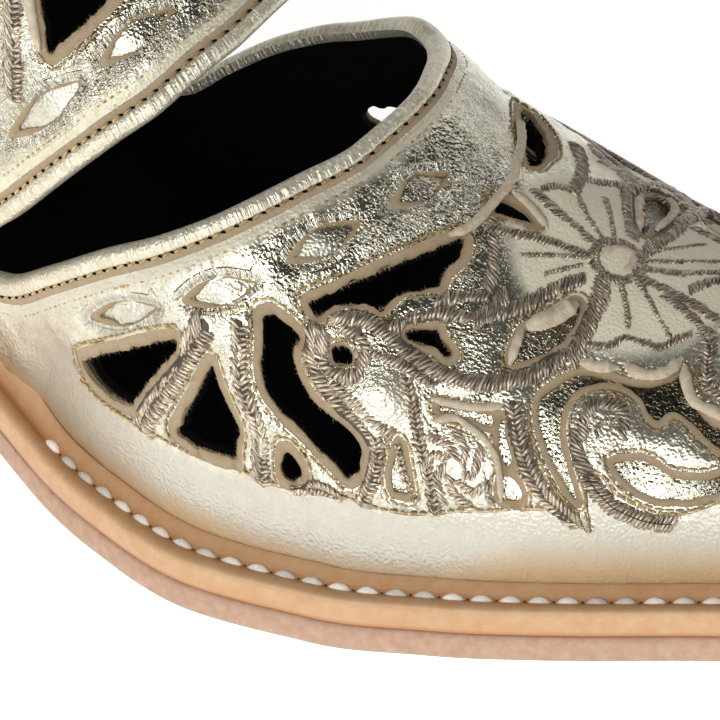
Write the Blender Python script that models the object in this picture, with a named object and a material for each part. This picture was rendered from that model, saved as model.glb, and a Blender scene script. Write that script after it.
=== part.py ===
"""Right slingback mule, flat-pattern upper wrapped on the last, welted leather sole, stacked heel.

Sizes are millimetres along the last: station 0 at the back of the heel, toe towards +X,
inner (medial) side +Y, outer (lateral) side -Y, floor at height 0. The finished objects are metres.
"""
import bpy
import bmesh
import numpy as np
from mathutils import Vector
from mathutils.geometry import delaunay_2d_cdt

for old in list(bpy.data.objects):
    bpy.data.objects.remove(old, do_unlink=True)

# ---- named sizes ---------------------------------------------------------------------------
MM = 0.001
LENGTH = 276.0            # sole length
CENTRE_X, CENTRE_Y = 138.0, 0.05
OUTSOLE_THICK = 3.5
WELT_LOW, WELT_HIGH = 3.88, 7.4
SEAT = 7.7                # upper and insole stand this far above the underside of the sole
LEDGE = 5.0               # welt showing outside the upper
WELT_WIDTH = 13.0
WALL = 2.2                # upper with its lining
HEEL_ROUND = 34.0         # end radii of the outline
TOE_ROUND = 14.0
INSOLE_THICK = 2.6
HEEL_FRONT = 60.0
LIFT_THICK = 6.0
STRAP_WIDTH, STRAP_THICK = 13.0, 2.2


def table(columns, rows):
    """Rows of numbers as named columns."""
    return dict(zip(columns.split(), np.array(rows, float).T))


OUTLINE = table("station half_width centre", [
    (0, 31, 0), (30, 32, 0), (60, 30, 0), (85, 27.5, 0), (105, 25.8, -0.5), (119, 28.9, -1.2),
    (138, 36, -2), (155, 40.9, -1.4), (170, 41.4, 0.8), (183, 39.4, 2.6), (196, 35.9, 3.6),
    (215, 29.2, 4.5), (235, 21.9, 4.6), (255, 14.8, 4.4), (276, 11, 4)])

UNDERSIDE = table("station height", [
    (0, 41), (35, 38.5), (62, 34), (88, 20), (112, 7.2), (132, 0.7), (146, 0), (172, 0),
    (185, 0.7), (200, 2.2), (225, 5), (250, 7.8), (276, 10.5)])

RIDGE = table("station height sideways", [
    (60, 112, 1), (90, 100, 1.5), (110, 87.5, 2), (125, 76.5, 2.2), (140, 65, 2.5),
    (150, 57, 2.8), (160, 49.5, 3.1), (170, 43, 3.3), (180, 38.4, 3.5), (190, 35, 3.6),
    (205, 32.3, 3.8), (225, 30.6, 4), (245, 30.4, 4), (271, 30.6, 4)])

# how far the section is drawn in towards the ridge (1 = plain ellipse) and swells over the sole
FULLNESS = table("station outer inner swell", [
    (84, 0.86, 0.88, 7), (110, 0.9, 0.93, 6.5), (130, 1, 1.05, 3.4), (150, 1.1, 1.25, 0.8),
    (165, 1.12, 1.35, 0), (205, 1.12, 1.32, 0), (235, 1.05, 1.15, 0), (257, 1, 1, 0)])

# edges of the flat pattern: station along the last, girth from the middle line (outer side -)
THROAT = table("station girth", [
    (108.5, -79), (112, -76.5), (120, -68.9), (127.9, -58.1), (135.9, -47.7), (143.1, -39),
    (149.8, -29.7), (154.9, -20.6), (158.7, -11.7), (160.2, -1), (158, 8.5), (154, 18),
    (149.6, 24), (144.5, 31.8), (139, 39.3), (133.3, 46), (127.1, 53.7), (121.3, 62.3),
    (116.5, 70), (110, 76)])
BAND_FRONT = table("station girth", [
    (107.2, 74.5), (113, 68.5), (120, 58.5), (128.6, 43), (135, 32), (139, 25), (141.9, 17.5),
    (144.2, 9.5), (145.6, 1.5), (145, -5.5), (143.8, -12.9), (141.9, -18.8), (139, -26.8),
    (135, -34.3), (128.7, -45.2), (120.5, -59.6), (113.5, -70.5), (106.8, -77.5)])
BAND_REAR = table("station girth", [
    (86, 99), (87.5, 70), (91, 55), (96.5, 38), (102, 19), (104.5, 0),
    (102, -19), (96.5, -40), (91, -57), (87.5, -72), (86, -99)])

# see-through cut-outs of the vamp, outer half; the inner half repeats them mirrored
CUTOUTS = {
    "fan rear": [(134, -63.4), (147.4, -47.4), (145.8, -52.6), (142.4, -60.6), (137.5, -63)],
    "fan front": [(152.8, -46.4), (157.2, -49.8), (157.2, -53.4), (149.4, -57.8), (151, -52.2)],
    "long slot": [(156.8, -36.8), (158.2, -35.2), (161, -35.5), (161.2, -38.1), (163.8, -40.2),
                  (171.2, -40.5), (171.3, -44), (169, -44.6), (162.6, -44), (158.9, -42.6)],
    "drop": [(163.1, -47.6), (165.2, -47.4), (165.3, -49.6), (163.4, -50.2)],
    "eye": [(165.7, -33.9), (166.3, -32.1), (167.9, -32.1), (167.3, -33.9)],
    "under collar": [(161.4, -31.8), (167, -23), (172.4, -12.1), (173.5, -13.5), (172.6, -18),
                     (170.2, -21.4), (168.4, -25.3), (164.6, -28), (162.4, -31)],
    "beak": [(172.3, -25.7), (175, -23.2), (175.9, -24.4), (178, -24.8)],
    "collar tip": [(173.2, -7.5), (174.4, -4.2), (178.8, -4), (176, -6)],
}
# cut-outs of the instep band, one half; the other half repeats them mirrored
BAND_CUTOUTS = {
    "inner leaf": [(120, -3.5), (132, -3), (134, -6.5), (127, -10), (117.5, -11.5)],
    "middle leaf": [(124.2, -32.4), (131, -18), (131, -14), (124, -14.5), (114.5, -18.5),
                    (113.5, -22.5), (121.6, -27.5)],
    "outer leaf": [(109.5, -25), (114.5, -31.5), (117, -40), (112, -47), (104.5, -46), (103.5, -34)],
}
GIRTH_RATIO = 0.95        # inner side of the last against its outer side

STRAP = table("station sideways height outward", [
    (78, 26.6, 64, 12), (60, 29.2, 73, 6), (42, 29, 82, 2), (26, 26, 89.5, 0), (13, 18.5, 95, -2),
    (5.5, 9, 97.6, -4), (3.4, 0, 98.4, -5)])

HEEL = table("drop back width front", [(0, 2, 0.96, 0), (0.3, 4.6, 0.91, 0.8),
                                       (0.7, 7.2, 0.875, 1.2), (1, 8.6, 0.865, 0.6)])


# ---- curves and the last -------------------------------------------------------------------
def smooth(t, column, x):
    """Monotone cubic through a table's column, held flat beyond its ends."""
    xs = t["station"] if "station" in t else t["drop"]
    ys = t[column]
    x = np.clip(np.asarray(x, float), xs[0], xs[-1])
    h, rise = np.diff(xs), np.diff(ys) / np.diff(xs)
    slope = np.concatenate([[rise[0]], np.zeros(len(xs) - 2), [rise[-1]]])
    same = rise[:-1] * rise[1:] > 0
    a, b = 2 * h[1:] + h[:-1], h[1:] + 2 * h[:-1]
    slope[1:-1][same] = ((a + b)[same]
                         / (a[same] / rise[:-1][same] + b[same] / rise[1:][same]))
    k = np.clip(np.searchsorted(xs, x) - 1, 0, len(h) - 1)
    u = (x - xs[k]) / h[k]
    return ((1 + 2 * u) * (1 - u) ** 2 * ys[k] + u * (1 - u) ** 2 * h[k] * slope[k]
            + u * u * (3 - 2 * u) * ys[k + 1] + u * u * (u - 1) * h[k] * slope[k + 1])


def rounding(distance, radius):
    """Quarter-circle growth from 0 at the end of an outline to 1 a radius further in."""
    d = np.clip(distance / radius, 0, 1)
    return np.sqrt(np.clip(1 - (1 - d) ** 2, 0, 1))


def outline_y(x, side, inset):
    """Plan outline: centre + side * (half width - inset), rounded at heel and toe."""
    half = (smooth(OUTLINE, "half_width", x) - inset) * rounding(x - inset, HEEL_ROUND)
    return smooth(OUTLINE, "centre", x) + side * half * rounding(LENGTH - inset - x, TOE_ROUND)


def underside(x):
    """Height of the sole's lower face: high under the heel, flat at the ball, toe lifted."""
    return smooth(UNDERSIDE, "height", x)


TOE_START = LENGTH - LEDGE - TOE_ROUND


def station(u):
    """Pattern length to station: the pattern runs on down the front of the toe."""
    bend = np.clip((u - TOE_START) / TOE_ROUND, 0, np.pi / 2)
    return np.where(u < TOE_START, u, TOE_START + TOE_ROUND * np.sin(bend)), np.cos(bend)


def last_point(u, t):
    """Half ellipse from feather edge (t = -1, +1) over the ridge (t = 0), drawn in or swollen."""
    x, toe = station(u)
    foot = underside(x) + SEAT
    angle = np.abs(t) * np.pi / 2
    side = np.where(t < 0, -1.0, 1.0)
    middle = smooth(OUTLINE, "centre", x)
    edge = side * (smooth(OUTLINE, "half_width", x) - LEDGE) * toe
    ridge = (smooth(RIDGE, "sideways", x) - middle) * toe
    draw = np.where(t < 0, smooth(FULLNESS, "outer", x), smooth(FULLNESS, "inner", x))
    y = middle + ridge + (edge - ridge) * np.sin(angle) ** draw
    y = y + side * smooth(FULLNESS, "swell", x) * np.sin(2 * angle)
    z = foot + (smooth(RIDGE, "height", x) - foot) * toe * np.cos(angle)
    return np.stack([x + 0 * t, y, z], -1)


ROWS = np.linspace(84, 278.8, 391)
STEPS = np.linspace(-1, 1, 241)
NET = last_point(ROWS[:, None], STEPS[None, :])
ARC = np.concatenate([np.zeros((len(ROWS), 1)),
                      np.cumsum(np.linalg.norm(np.diff(NET, axis=1), axis=2), 1)], 1)
ARC -= ARC[:, 120:121]


def wrap(u, s, lift=0.0):
    """Pattern point (length u, girth s) laid on the last and lifted along its normal."""
    u, s = np.asarray(u, float), np.asarray(s, float)
    row = np.clip((u - ROWS[0]) / (ROWS[1] - ROWS[0]), 0, len(ROWS) - 1.001)
    i = row.astype(int)
    arc = ARC[i] * (1 - (row - i))[:, None] + ARC[i + 1] * (row - i)[:, None]
    k = np.clip((arc < s[:, None]).sum(1) - 1, 0, len(STEPS) - 2)
    n = np.arange(len(u))
    part = (s - arc[n, k]) / np.maximum(arc[n, k + 1] - arc[n, k], 1e-9)
    t = np.clip(STEPS[k] + part * (STEPS[1] - STEPS[0]), -1, 1)
    along = last_point(np.minimum(u + 0.2, 278.9), t) - last_point(u - 0.2, t)
    girth = (last_point(u, np.clip(t + 0.004, -0.9999, 0.9999))
             - last_point(u, np.clip(t - 0.004, -0.9999, 0.9999)))
    normal = np.cross(along, girth)
    normal /= np.linalg.norm(normal, axis=1)[:, None]
    return last_point(u, t) + normal * lift


def feather(u, side):
    """Girth of the pattern where it meets the sole."""
    return np.interp(u, ROWS, ARC[:, 0] if side < 0 else ARC[:, -1])


# ---- mesh helpers --------------------------------------------------------------------------
shoe = bpy.data.collections.new("slingback_mule")
cutters = bpy.data.collections.new("cutters")
bpy.context.scene.collection.children.link(shoe)
bpy.context.scene.collection.children.link(cutters)


def solid(name, points, faces, material=None, collection=shoe):
    """Object from millimetre points, recentred on the middle of the sole."""
    mesh = bpy.data.meshes.new(name)
    centred = (np.asarray(points) - (CENTRE_X, CENTRE_Y, 0)) * MM
    mesh.from_pydata(centred.tolist(), [], [list(f) for f in faces])
    work = bmesh.new()
    work.from_mesh(mesh)
    bmesh.ops.remove_doubles(work, verts=work.verts, dist=0.000002)
    bmesh.ops.triangulate(work, faces=work.faces)
    bmesh.ops.recalc_face_normals(work, faces=work.faces)
    work.to_mesh(mesh)
    work.free()
    item = bpy.data.objects.new(name, mesh)
    collection.objects.link(item)
    if material:
        mesh.materials.append(material)
    if collection is cutters:
        item.hide_render = True
        item.display_type = "WIRE"
    return item


def loft(rings, ring_shut=True, ends_shut=False):
    """Faces between successive closed rings; capped, or joined last to first."""
    n, m = len(rings), len(rings[0])
    faces = []
    for i in range(n if ends_shut else n - 1):
        j = (i + 1) % n
        for k in range(m):
            q = (k + 1) % m
            faces.append((i * m + k, i * m + q, j * m + q, j * m + k))
    if ring_shut and not ends_shut:
        faces += [tuple(range(m))[::-1], tuple((n - 1) * m + k for k in range(m))]
    return np.concatenate(rings), faces


def unite(item, other):
    """Join two overlapping solids into one."""
    step = item.modifiers.new("join", "BOOLEAN")
    step.operation, step.solver, step.object = "UNION", "EXACT", other


def leather(name, colour, metallic, roughness):
    """Plain stand-in finish for a solid."""
    material = bpy.data.materials.new(name)
    material.use_nodes = True
    shader = material.node_tree.nodes["Principled BSDF"]
    shader.inputs["Base Color"].default_value = (*colour, 1)
    shader.inputs["Metallic"].default_value = metallic
    shader.inputs["Roughness"].default_value = roughness
    return material


GOLD = leather("gold_foil_leather", (0.70, 0.66, 0.47), 0.9, 0.32)
BLACK = leather("black_lining_leather", (0.012, 0.01, 0.01), 0.0, 0.8)
TAN = leather("natural_sole_leather", (0.66, 0.38, 0.24), 0.0, 0.55)
PALE = leather("natural_welt_leather", (0.76, 0.50, 0.31), 0.0, 0.5)
STACK = leather("stacked_heel_leather", (0.55, 0.30, 0.17), 0.0, 0.5)
TAP = leather("heel_rubber", (0.03, 0.025, 0.02), 0.0, 0.7)


# ---- sole ----------------------------------------------------------------------------------
def stations(inset, count):
    """Stations from heel to toe, crowded where the outline turns."""
    back = inset + HEEL_ROUND * (1 - np.cos(np.linspace(0.13, np.pi / 2, 9)))
    front = LENGTH - inset - TOE_ROUND * (1 - np.cos(np.linspace(np.pi / 2, 0.16, 8)))
    return np.concatenate([back[:-1], np.linspace(back[-1], front[0], count), front[1:]])


def plate(name, inset, low, high, material, count=58):
    """Flat layer following the underside: one four-cornered ring per station."""
    x = stations(inset, count)
    out, inn = outline_y(x, -1, inset), outline_y(x, 1, inset)
    z = underside(x)
    rings = [np.array([(a, b, h + low), (a, c, h + low), (a, c, h + high), (a, b, h + high)])
             for a, b, c, h in zip(x, out, inn, z)]
    return solid(name, *loft(rings), material=material)


plate("outsole", 0.0, 0.0, OUTSOLE_THICK, TAN)


def border(inset, count=58):
    """Closed plan outline, outer side heel to toe and back along the inner side."""
    x = stations(inset, count)
    return np.concatenate([np.stack([x, outline_y(x, -1, inset)], 1),
                           np.stack([x, outline_y(x, 1, inset)], 1)[::-1]])


rim, inner = border(0.0), border(WELT_WIDTH)
solid("welt", *loft([np.array([(a[0], a[1], underside(a[0]) + WELT_LOW),
                               (b[0], b[1], underside(b[0]) + WELT_LOW),
                               (b[0], b[1], underside(b[0]) + WELT_HIGH),
                               (a[0], a[1], underside(a[0]) + WELT_HIGH)])
                     for a, b in zip(rim, inner)], ends_shut=True), material=PALE)


def insole_inset(x):
    """Inside the upper in front, out to the seat's edge under the open heel."""
    blend = np.clip((x - 74) / 10, 0, 1)
    return 3.2 + (LEDGE + WALL + 1.1 - 3.2) * blend * blend * (3 - 2 * blend)


def insole_ring(x):
    """Sock board with the filler under it that fills the hollow of the welt."""
    inset = insole_inset(x)
    sole = float(underside(x))
    wide = [float(outline_y(x, side, inset)) for side in (-1, 1)]
    plug = WELT_WIDTH + 0.4
    middle = float(smooth(OUTLINE, "centre", x))
    half = max(float(outline_y(x, 1, plug)) - middle, 0.4) if plug < x < LENGTH - plug else 0.4
    depth = SEAT - OUTSOLE_THICK - 0.3 if half > 3.0 else 0.02
    low, high = sole + SEAT, sole + SEAT + INSOLE_THICK
    return np.array([(x, middle - half, low - depth), (x, middle + half, low - depth),
                     (x, middle + half, low), (x, wide[1], low), (x, wide[1], high),
                     (x, wide[0], high), (x, wide[0], low), (x, middle - half, low)])


heel_turn = HEEL_ROUND * (1 - np.cos(np.linspace(0.13, np.pi / 2, 8)))
toe_turn = TOE_ROUND * (1 - np.cos(np.linspace(0.16, np.pi / 2, 7)))
insole_x = [inset + heel_turn for inset in (3.2, WELT_WIDTH + 0.4)]
insole_x += [LENGTH - inset - toe_turn for inset in (LEDGE + WALL + 1.1, WELT_WIDTH + 0.4)]
insole_x = np.unique(np.round(np.concatenate(insole_x + [np.linspace(48, 246, 40)]), 1))
insole_x = insole_x[np.concatenate([[True], np.diff(insole_x) > 0.35])]
solid("insole", *loft([insole_ring(float(x)) for x in insole_x]), material=BLACK)


# ---- heel ----------------------------------------------------------------------------------
def heel_rings(drops):
    """Heel block: rings per station, points down the outer side and up the inner side."""
    q = np.concatenate([1 - np.cos(np.linspace(0.16, np.pi / 2, 8)), [1.35, 1.6]]) / 1.6
    rings = []
    for part in q:
        side = []
        for drop in drops:
            begin = smooth(HEEL, "back", drop)
            end = HEEL_FRONT - smooth(HEEL, "front", drop)
            x = begin + (end - begin) * part
            plan = 2.0 + (HEEL_FRONT - 2.0) * part
            y = outline_y(np.array(plan), 1, 1.2) * smooth(HEEL, "width", drop)
            top = float(underside(x)) - 0.3
            side.append((x, float(y), top + (LIFT_THICK + 0.3 - top) * drop))
        outer = [(a, -b, c) for a, b, c in side]
        rings.append(np.array(outer + side[::-1]))
    return rings


heel = heel_rings([0.0, 0.25, 0.5, 0.75, 1.0])
solid("heel", *loft(heel), material=STACK)
lift = [np.array([(r[i][0], r[i][1], z) for i, z in ((4, LIFT_THICK), (4, 0.8), (4, 0.0),
                                                     (5, 0.0), (5, 0.8), (5, LIFT_THICK))])
        for r in heel]
solid("top_lift", *loft(lift), material=TAP)


# ---- upper ---------------------------------------------------------------------------------
def bent(t, spacing):
    """Points at equal spacing along a table's rounded curve."""
    knots = np.stack([t["station"], t["girth"]], 1)
    run = np.concatenate([[0], np.cumsum(np.linalg.norm(np.diff(knots, axis=0), axis=1))])
    even = np.linspace(0, run[-1], max(int(run[-1] / spacing), 3))
    named = [smooth({"station": run, "v": knots[:, i]}, "v", even) for i in (0, 1)]
    return np.stack(named, 1)


def rounded(corners, spacing, cut=0.28):
    """Closed polygon with its corners cut twice, then spaced evenly."""
    p = np.array(corners, float)
    for _ in range(2):
        q = np.roll(p, -1, axis=0)
        p = np.stack([p * (1 - cut) + q * cut, p * cut + q * (1 - cut)], 1).reshape(-1, 2)
    shut = np.concatenate([p, p[:1]])
    run = np.concatenate([[0], np.cumsum(np.linalg.norm(np.diff(shut, axis=0), axis=1))])
    count = max(int(run[-1] / spacing), 6)
    even = np.linspace(0, run[-1], count, endpoint=False)
    return np.stack([np.interp(even, run, shut[:, i]) for i in (0, 1)], 1)


def inside(points, polygon):
    """Even-odd test of points in a closed polygon."""
    a, b = polygon, np.roll(polygon, -1, axis=0)
    x, y = points[:, :1], points[:, 1:]
    cross = (a[:, 1] > y) != (b[:, 1] > y)
    fall = np.where(b[:, 1] == a[:, 1], 1, b[:, 1] - a[:, 1])
    at = a[:, 0] + (y - a[:, 1]) * (b[:, 0] - a[:, 0]) / fall
    return ((cross & (x < at)).sum(1) % 2) == 1


def pattern(outer, holes, spacing):
    """Triangulated flat piece: boundary loops and a staggered grid inside them."""
    low, high = outer.min(0), outer.max(0)
    grid = np.array([(low[0] + (i + 0.5 * (j % 2)) * spacing, low[1] + j * spacing * 0.866)
                     for j in range(int((high[1] - low[1]) / spacing / 0.866) + 1)
                     for i in range(int((high[0] - low[0]) / spacing) + 1)])
    loops = [outer] + holes
    rim_points = np.concatenate([np.concatenate([one, (one + np.roll(one, -1, axis=0)) / 2])
                                 for one in loops])
    keep = inside(grid, outer)
    for hole in holes:
        keep &= ~inside(grid, hole)
    near = np.linalg.norm(grid[:, None] - rim_points[None], axis=2).min(1)
    grid = grid[keep & (near > spacing * 0.55)]
    edges, count = [], 0
    for loop in loops:
        n = len(loop)
        edges += [(count + k, count + (k + 1) % n) for k in range(n)]
        count += n
    points = np.concatenate(loops + [grid])
    cut = delaunay_2d_cdt([Vector(p) for p in points], edges, [], 0, 1e-5)
    flat = np.array([tuple(v) for v in cut[0]])
    faces = np.array([f for f in cut[2] if len(f) == 3])
    middle = flat[faces].mean(1)
    keep = inside(middle, outer)
    for hole in holes:
        keep &= ~inside(middle, hole)
    faces = faces[keep]
    used = np.unique(faces)
    renumber = np.full(len(flat), -1)
    renumber[used] = np.arange(len(used))
    return flat[used], renumber[faces]


def sheet(flat, faces, low, high):
    """Leather of real thickness: both faces of the pattern and the cut edges between them."""
    n = len(flat)
    points = np.concatenate([wrap(flat[:, 0], flat[:, 1], high), wrap(flat[:, 0], flat[:, 1], low)])
    sides = {}
    for f in faces:
        for a, b in ((f[0], f[1]), (f[1], f[2]), (f[2], f[0])):
            sides[(a, b)] = True
    walls = [(b, a, a + n, b + n) for a, b in sides if (b, a) not in sides]
    return points, [tuple(f) for f in faces] + [tuple(f[::-1] + n) for f in faces] + walls


def mirrored(polygon):
    return [(u, -s * GIRTH_RATIO) for u, s in polygon][::-1]


foot_u = np.concatenate([np.linspace(86, 250, 48), np.linspace(253, 278.3, 9)])
outer_edge = np.stack([foot_u, feather(foot_u, -1)], 1)
inner_edge = np.stack([foot_u, feather(foot_u, 1)], 1)[::-1]
rear = bent(BAND_REAR, 4.5)
rear = rear[(rear[:, 1] < inner_edge[-1, 1] - 3) & (rear[:, 1] > outer_edge[0, 1] + 3)]
boundary = np.concatenate([outer_edge, inner_edge, rear])
lens = np.concatenate([bent(THROAT, 3.4), bent(BAND_FRONT, 3.6)])
windows = [lens]
for group in (CUTOUTS, BAND_CUTOUTS):
    for corners in group.values():
        windows += [rounded(corners, 2.4), rounded(mirrored(corners), 2.4)]
flat, faces = pattern(boundary, windows, 5.6)
upper = solid("upper", *sheet(flat, faces, -WALL, 0.0), material=GOLD)

# sling strap: laid on the quarter, round the open heel, one half mirrored to the other
tail_u = np.array([104.0, 100, 96, 92, 88])
tail_s = np.array([-51.0, -52, -53.4, -55, -56.8])


def strap_half(side):
    s = tail_s if side < 0 else -tail_s * 0.97
    laid = wrap(tail_u, s, 0.25)
    out = wrap(tail_u, s, 1.25) - laid
    loose = np.stack([STRAP["station"], side * STRAP["sideways"], STRAP["height"]], 1)
    lean = np.radians(STRAP["outward"])
    turn = np.clip((40 - STRAP["station"]) / 36.6, 0, 1) * np.pi / 2
    away = np.stack([-np.sin(turn) * np.cos(lean), side * np.cos(turn) * np.cos(lean),
                     np.sin(lean)], 1)
    return np.concatenate([laid, loose]), np.concatenate([out, away])


def spread(values, run, even):
    return np.stack([smooth({"station": run, "v": values[:, i]}, "v", even) for i in range(3)], 1)


path_a, out_a = strap_half(-1)
path_b, out_b = strap_half(1)
path = np.concatenate([path_a, path_b[::-1][1:]])
out = np.concatenate([out_a, out_b[::-1][1:]])
run = np.concatenate([[0], np.cumsum(np.linalg.norm(np.diff(path, axis=0), axis=1))])
even = np.linspace(0, run[-1], 74)
path, out = spread(path, run, even), spread(out, run, even)
along = np.gradient(path, axis=0)
along /= np.linalg.norm(along, axis=1)[:, None]
across = np.cross(along, out)
across /= np.linalg.norm(across, axis=1)[:, None]
out = np.cross(across, along)
SECTION = [(-0.5, 0.2), (-0.46, 0.5), (0.0, 0.5), (0.46, 0.5), (0.5, 0.2),
           (0.5, -0.2), (0.46, -0.5), (0.0, -0.5), (-0.46, -0.5), (-0.5, -0.2)]
rings = [np.array([p + c * w * STRAP_WIDTH + o * h * STRAP_THICK for w, h in SECTION])
         for p, c, o in zip(path, across, out)]
strap = solid("sling_strap", *loft(rings), material=GOLD, collection=cutters)
unite(upper, strap)
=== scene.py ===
"""Looks of a right slingback mule in cracked gold foil leather, cut-work and corded embroidery.

Pattern lengths are millimetres on the last: u runs along it (0 at the heel, toe upwards), s runs
round it from the ridge (outer side negative), lift stands off its surface. Objects are metres.
"""
import bpy
import numpy as np
from mathutils import Matrix, Vector
from mathutils.geometry import delaunay_2d_cdt


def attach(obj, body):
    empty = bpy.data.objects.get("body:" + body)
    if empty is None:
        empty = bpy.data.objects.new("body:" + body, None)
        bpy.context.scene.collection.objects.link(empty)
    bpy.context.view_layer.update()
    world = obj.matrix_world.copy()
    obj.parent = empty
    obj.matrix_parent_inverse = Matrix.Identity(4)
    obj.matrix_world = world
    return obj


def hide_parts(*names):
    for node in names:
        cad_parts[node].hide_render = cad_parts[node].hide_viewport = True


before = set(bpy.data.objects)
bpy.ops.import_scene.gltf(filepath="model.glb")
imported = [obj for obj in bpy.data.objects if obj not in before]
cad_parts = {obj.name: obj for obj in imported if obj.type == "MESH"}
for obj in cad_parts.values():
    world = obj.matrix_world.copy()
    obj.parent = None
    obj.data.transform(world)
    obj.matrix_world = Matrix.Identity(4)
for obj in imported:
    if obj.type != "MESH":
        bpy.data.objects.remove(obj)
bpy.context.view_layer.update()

# ---- named sizes ---------------------------------------------------------------------------
MM = 0.001
LENGTH = 276.0
CENTRE = np.array([138.0, 0.05, 0.0])
OUTSOLE_TOP, WELT_LOW, SEAT = 3.5, 3.62, 7.7       # heights over the underside of the sole
LEDGE, HEEL_ROUND, TOE_ROUND = 5.0, 34.0, 14.0
STRAP_WIDTH, STRAP_THICK = 13.0, 2.2
CHART_BACK, CHART_FRONT, CHART_GIRTH = 84.0, 281.0, 104.0     # how far the pattern is charted
GIRTH_RATIO = 0.95        # inner side of the pattern against its outer side
HOLE_EDGE, GAP_EDGE, TOP_EDGE = 1.05, 0.8, 2.15    # raw edge left bare beside the gold skin
TOP_SEAM, SECOND_SEAM = 1.43, 3.15                 # the topline's stitch rows, in from its edge
STITCH, WELT_STITCH = 1.25, 3.4                    # pitch of edge stitching and of welt stitches
SEWN_FROM = 128.0                                  # the welt is sewn from here to the toe
LASTED_BACK, LASTED_TOE = 86.2, 278.2              # the pattern's leather lies between these


def table(columns, rows):
    """Rows of numbers as named columns."""
    return dict(zip(columns.split(), np.array(rows, float).T))


OUTLINE = table("station half_width centre", [
    (0, 31, 0), (30, 32, 0), (60, 30, 0), (85, 27.5, 0), (105, 25.8, -0.5), (119, 28.9, -1.2),
    (138, 36, -2), (155, 40.9, -1.4), (170, 41.4, 0.8), (183, 39.4, 2.6), (196, 35.9, 3.6),
    (215, 29.2, 4.5), (235, 21.9, 4.6), (255, 14.8, 4.4), (276, 11, 4)])
UNDERSIDE = table("station height", [
    (0, 41), (35, 38.5), (62, 34), (88, 20), (112, 7.2), (132, 0.7), (146, 0), (172, 0),
    (185, 0.7), (200, 2.2), (225, 5), (250, 7.8), (276, 10.5)])
RIDGE = table("station height sideways", [
    (60, 112, 1), (90, 100, 1.5), (110, 87.5, 2), (125, 76.5, 2.2), (140, 65, 2.5),
    (150, 57, 2.8), (160, 49.5, 3.1), (170, 43, 3.3), (180, 38.4, 3.5), (190, 35, 3.6),
    (205, 32.3, 3.8), (225, 30.6, 4), (245, 30.4, 4), (271, 30.6, 4)])
FULLNESS = table("station outer inner swell", [
    (84, 0.86, 0.88, 7), (110, 0.9, 0.93, 6.5), (130, 1, 1.05, 3.4), (150, 1.1, 1.25, 0.8),
    (165, 1.12, 1.35, 0), (205, 1.12, 1.32, 0), (235, 1.05, 1.15, 0), (257, 1, 1, 0)])
STRAP = table("station sideways height outward", [
    (78, 26.6, 64, 12), (60, 29.2, 73, 6), (42, 29, 82, 2), (26, 26, 89.5, 0), (13, 18.5, 95, -2),
    (5.5, 9, 97.6, -4), (3.4, 0, 98.4, -5)])

# edges of the flat pattern: length u, girth s
THROAT = [
    (108.5, -79), (112, -76.5), (120, -68.9), (127.9, -58.1), (135.9, -47.7), (143.1, -39),
    (149.8, -29.7), (154.9, -20.6), (158.7, -11.7), (160.2, -1), (158, 8.5), (154, 18),
    (149.6, 24), (144.5, 31.8), (139, 39.3), (133.3, 46), (127.1, 53.7), (121.3, 62.3),
    (116.5, 70), (110, 76)]
BAND_FRONT = [
    (107.2, 74.5), (113, 68.5), (120, 58.5), (128.6, 43), (135, 32), (139, 25), (141.9, 17.5),
    (144.2, 9.5), (145.6, 1.5), (145, -5.5), (143.8, -12.9), (141.9, -18.8), (139, -26.8),
    (135, -34.3), (128.7, -45.2), (120.5, -59.6), (113.5, -70.5), (106.8, -77.5)]
BAND_REAR = [
    (86, 99), (87.5, 70), (91, 55), (96.5, 38), (102, 19), (104.5, 0),
    (102, -19), (96.5, -40), (91, -57), (87.5, -72), (86, -99)]
# lower edge of the cut-work where it lies on the plain foxing, outer half, heel to toe
OVERLAY_LOW = [
    (122, -92), (126, -80), (128.6, -71.5), (131.5, -67.4), (137.3, -65.9), (143, -63.1),
    (147.8, -60.4), (153, -57.9), (159.2, -54.1), (162.6, -52.5), (166.8, -49.9), (171.1, -47.4),
    (175.8, -45.6), (180.2, -43.1), (183.8, -40.4), (187.3, -38.2), (191, -35.8), (194.8, -34.3),
    (198.9, -34.8), (197.7, -31.8), (196.5, -28.4), (197.7, -27.9), (200.7, -29.1),
    (204.4, -29.1), (207.8, -27.9), (210.6, -25.4), (214, -22), (218, -17), (221, -10), (222.5, -2)]

# cut-outs that go right through the leather: the rearmost on each side, those below the collar
SINGLE_CUTOUTS = [
    [(134.1, -63.9), (136.7, -60.3), (139.1, -57.3), (143.8, -51.4), (147.9, -47), (147.8, -48.8),
     (146.4, -51.8), (144.4, -56.2), (142.4, -61.2), (141.4, -62), (138.9, -63.6), (136.1, -64.6)],
    [(138.2, 54), (139.6, 51), (141.6, 48.8), (143.4, 47.6), (145, 47.2), (145.6, 48.6),
     (144.3, 50.8), (142.4, 52.8), (140.4, 54.6), (138.9, 55)],
    [(160.8, -31.4), (162.8, -28.3), (165.1, -24.6), (167.4, -20.8), (169.9, -16.5), (172.6, -11.6),
     (173.6, -14.1), (172.6, -17), (173.1, -18.9), (171.6, -20.6), (169.8, -22.4), (169, -24.5),
     (168.2, -26), (167, -26.4), (165.2, -27.6), (164, -28.9), (163.1, -30.5), (162.4, -31.9)],
    [(173.4, -5.2), (173.9, -4.3), (175.2, -3.9), (176.4, -3.7), (178.2, -4.5), (177, -4.9),
     (176.1, -5.4), (175.2, -5.9), (174.4, -6.2), (173.9, -6.6)],
    [(164.9, 19.2), (165.5, 20.1), (168.2, 16.8), (171.1, 12.7), (172.8, 9.4), (173.9, 5.1),
     (173.3, 3.2), (171.6, 5.6), (168.9, 9.9), (166.4, 15)],
]
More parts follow.
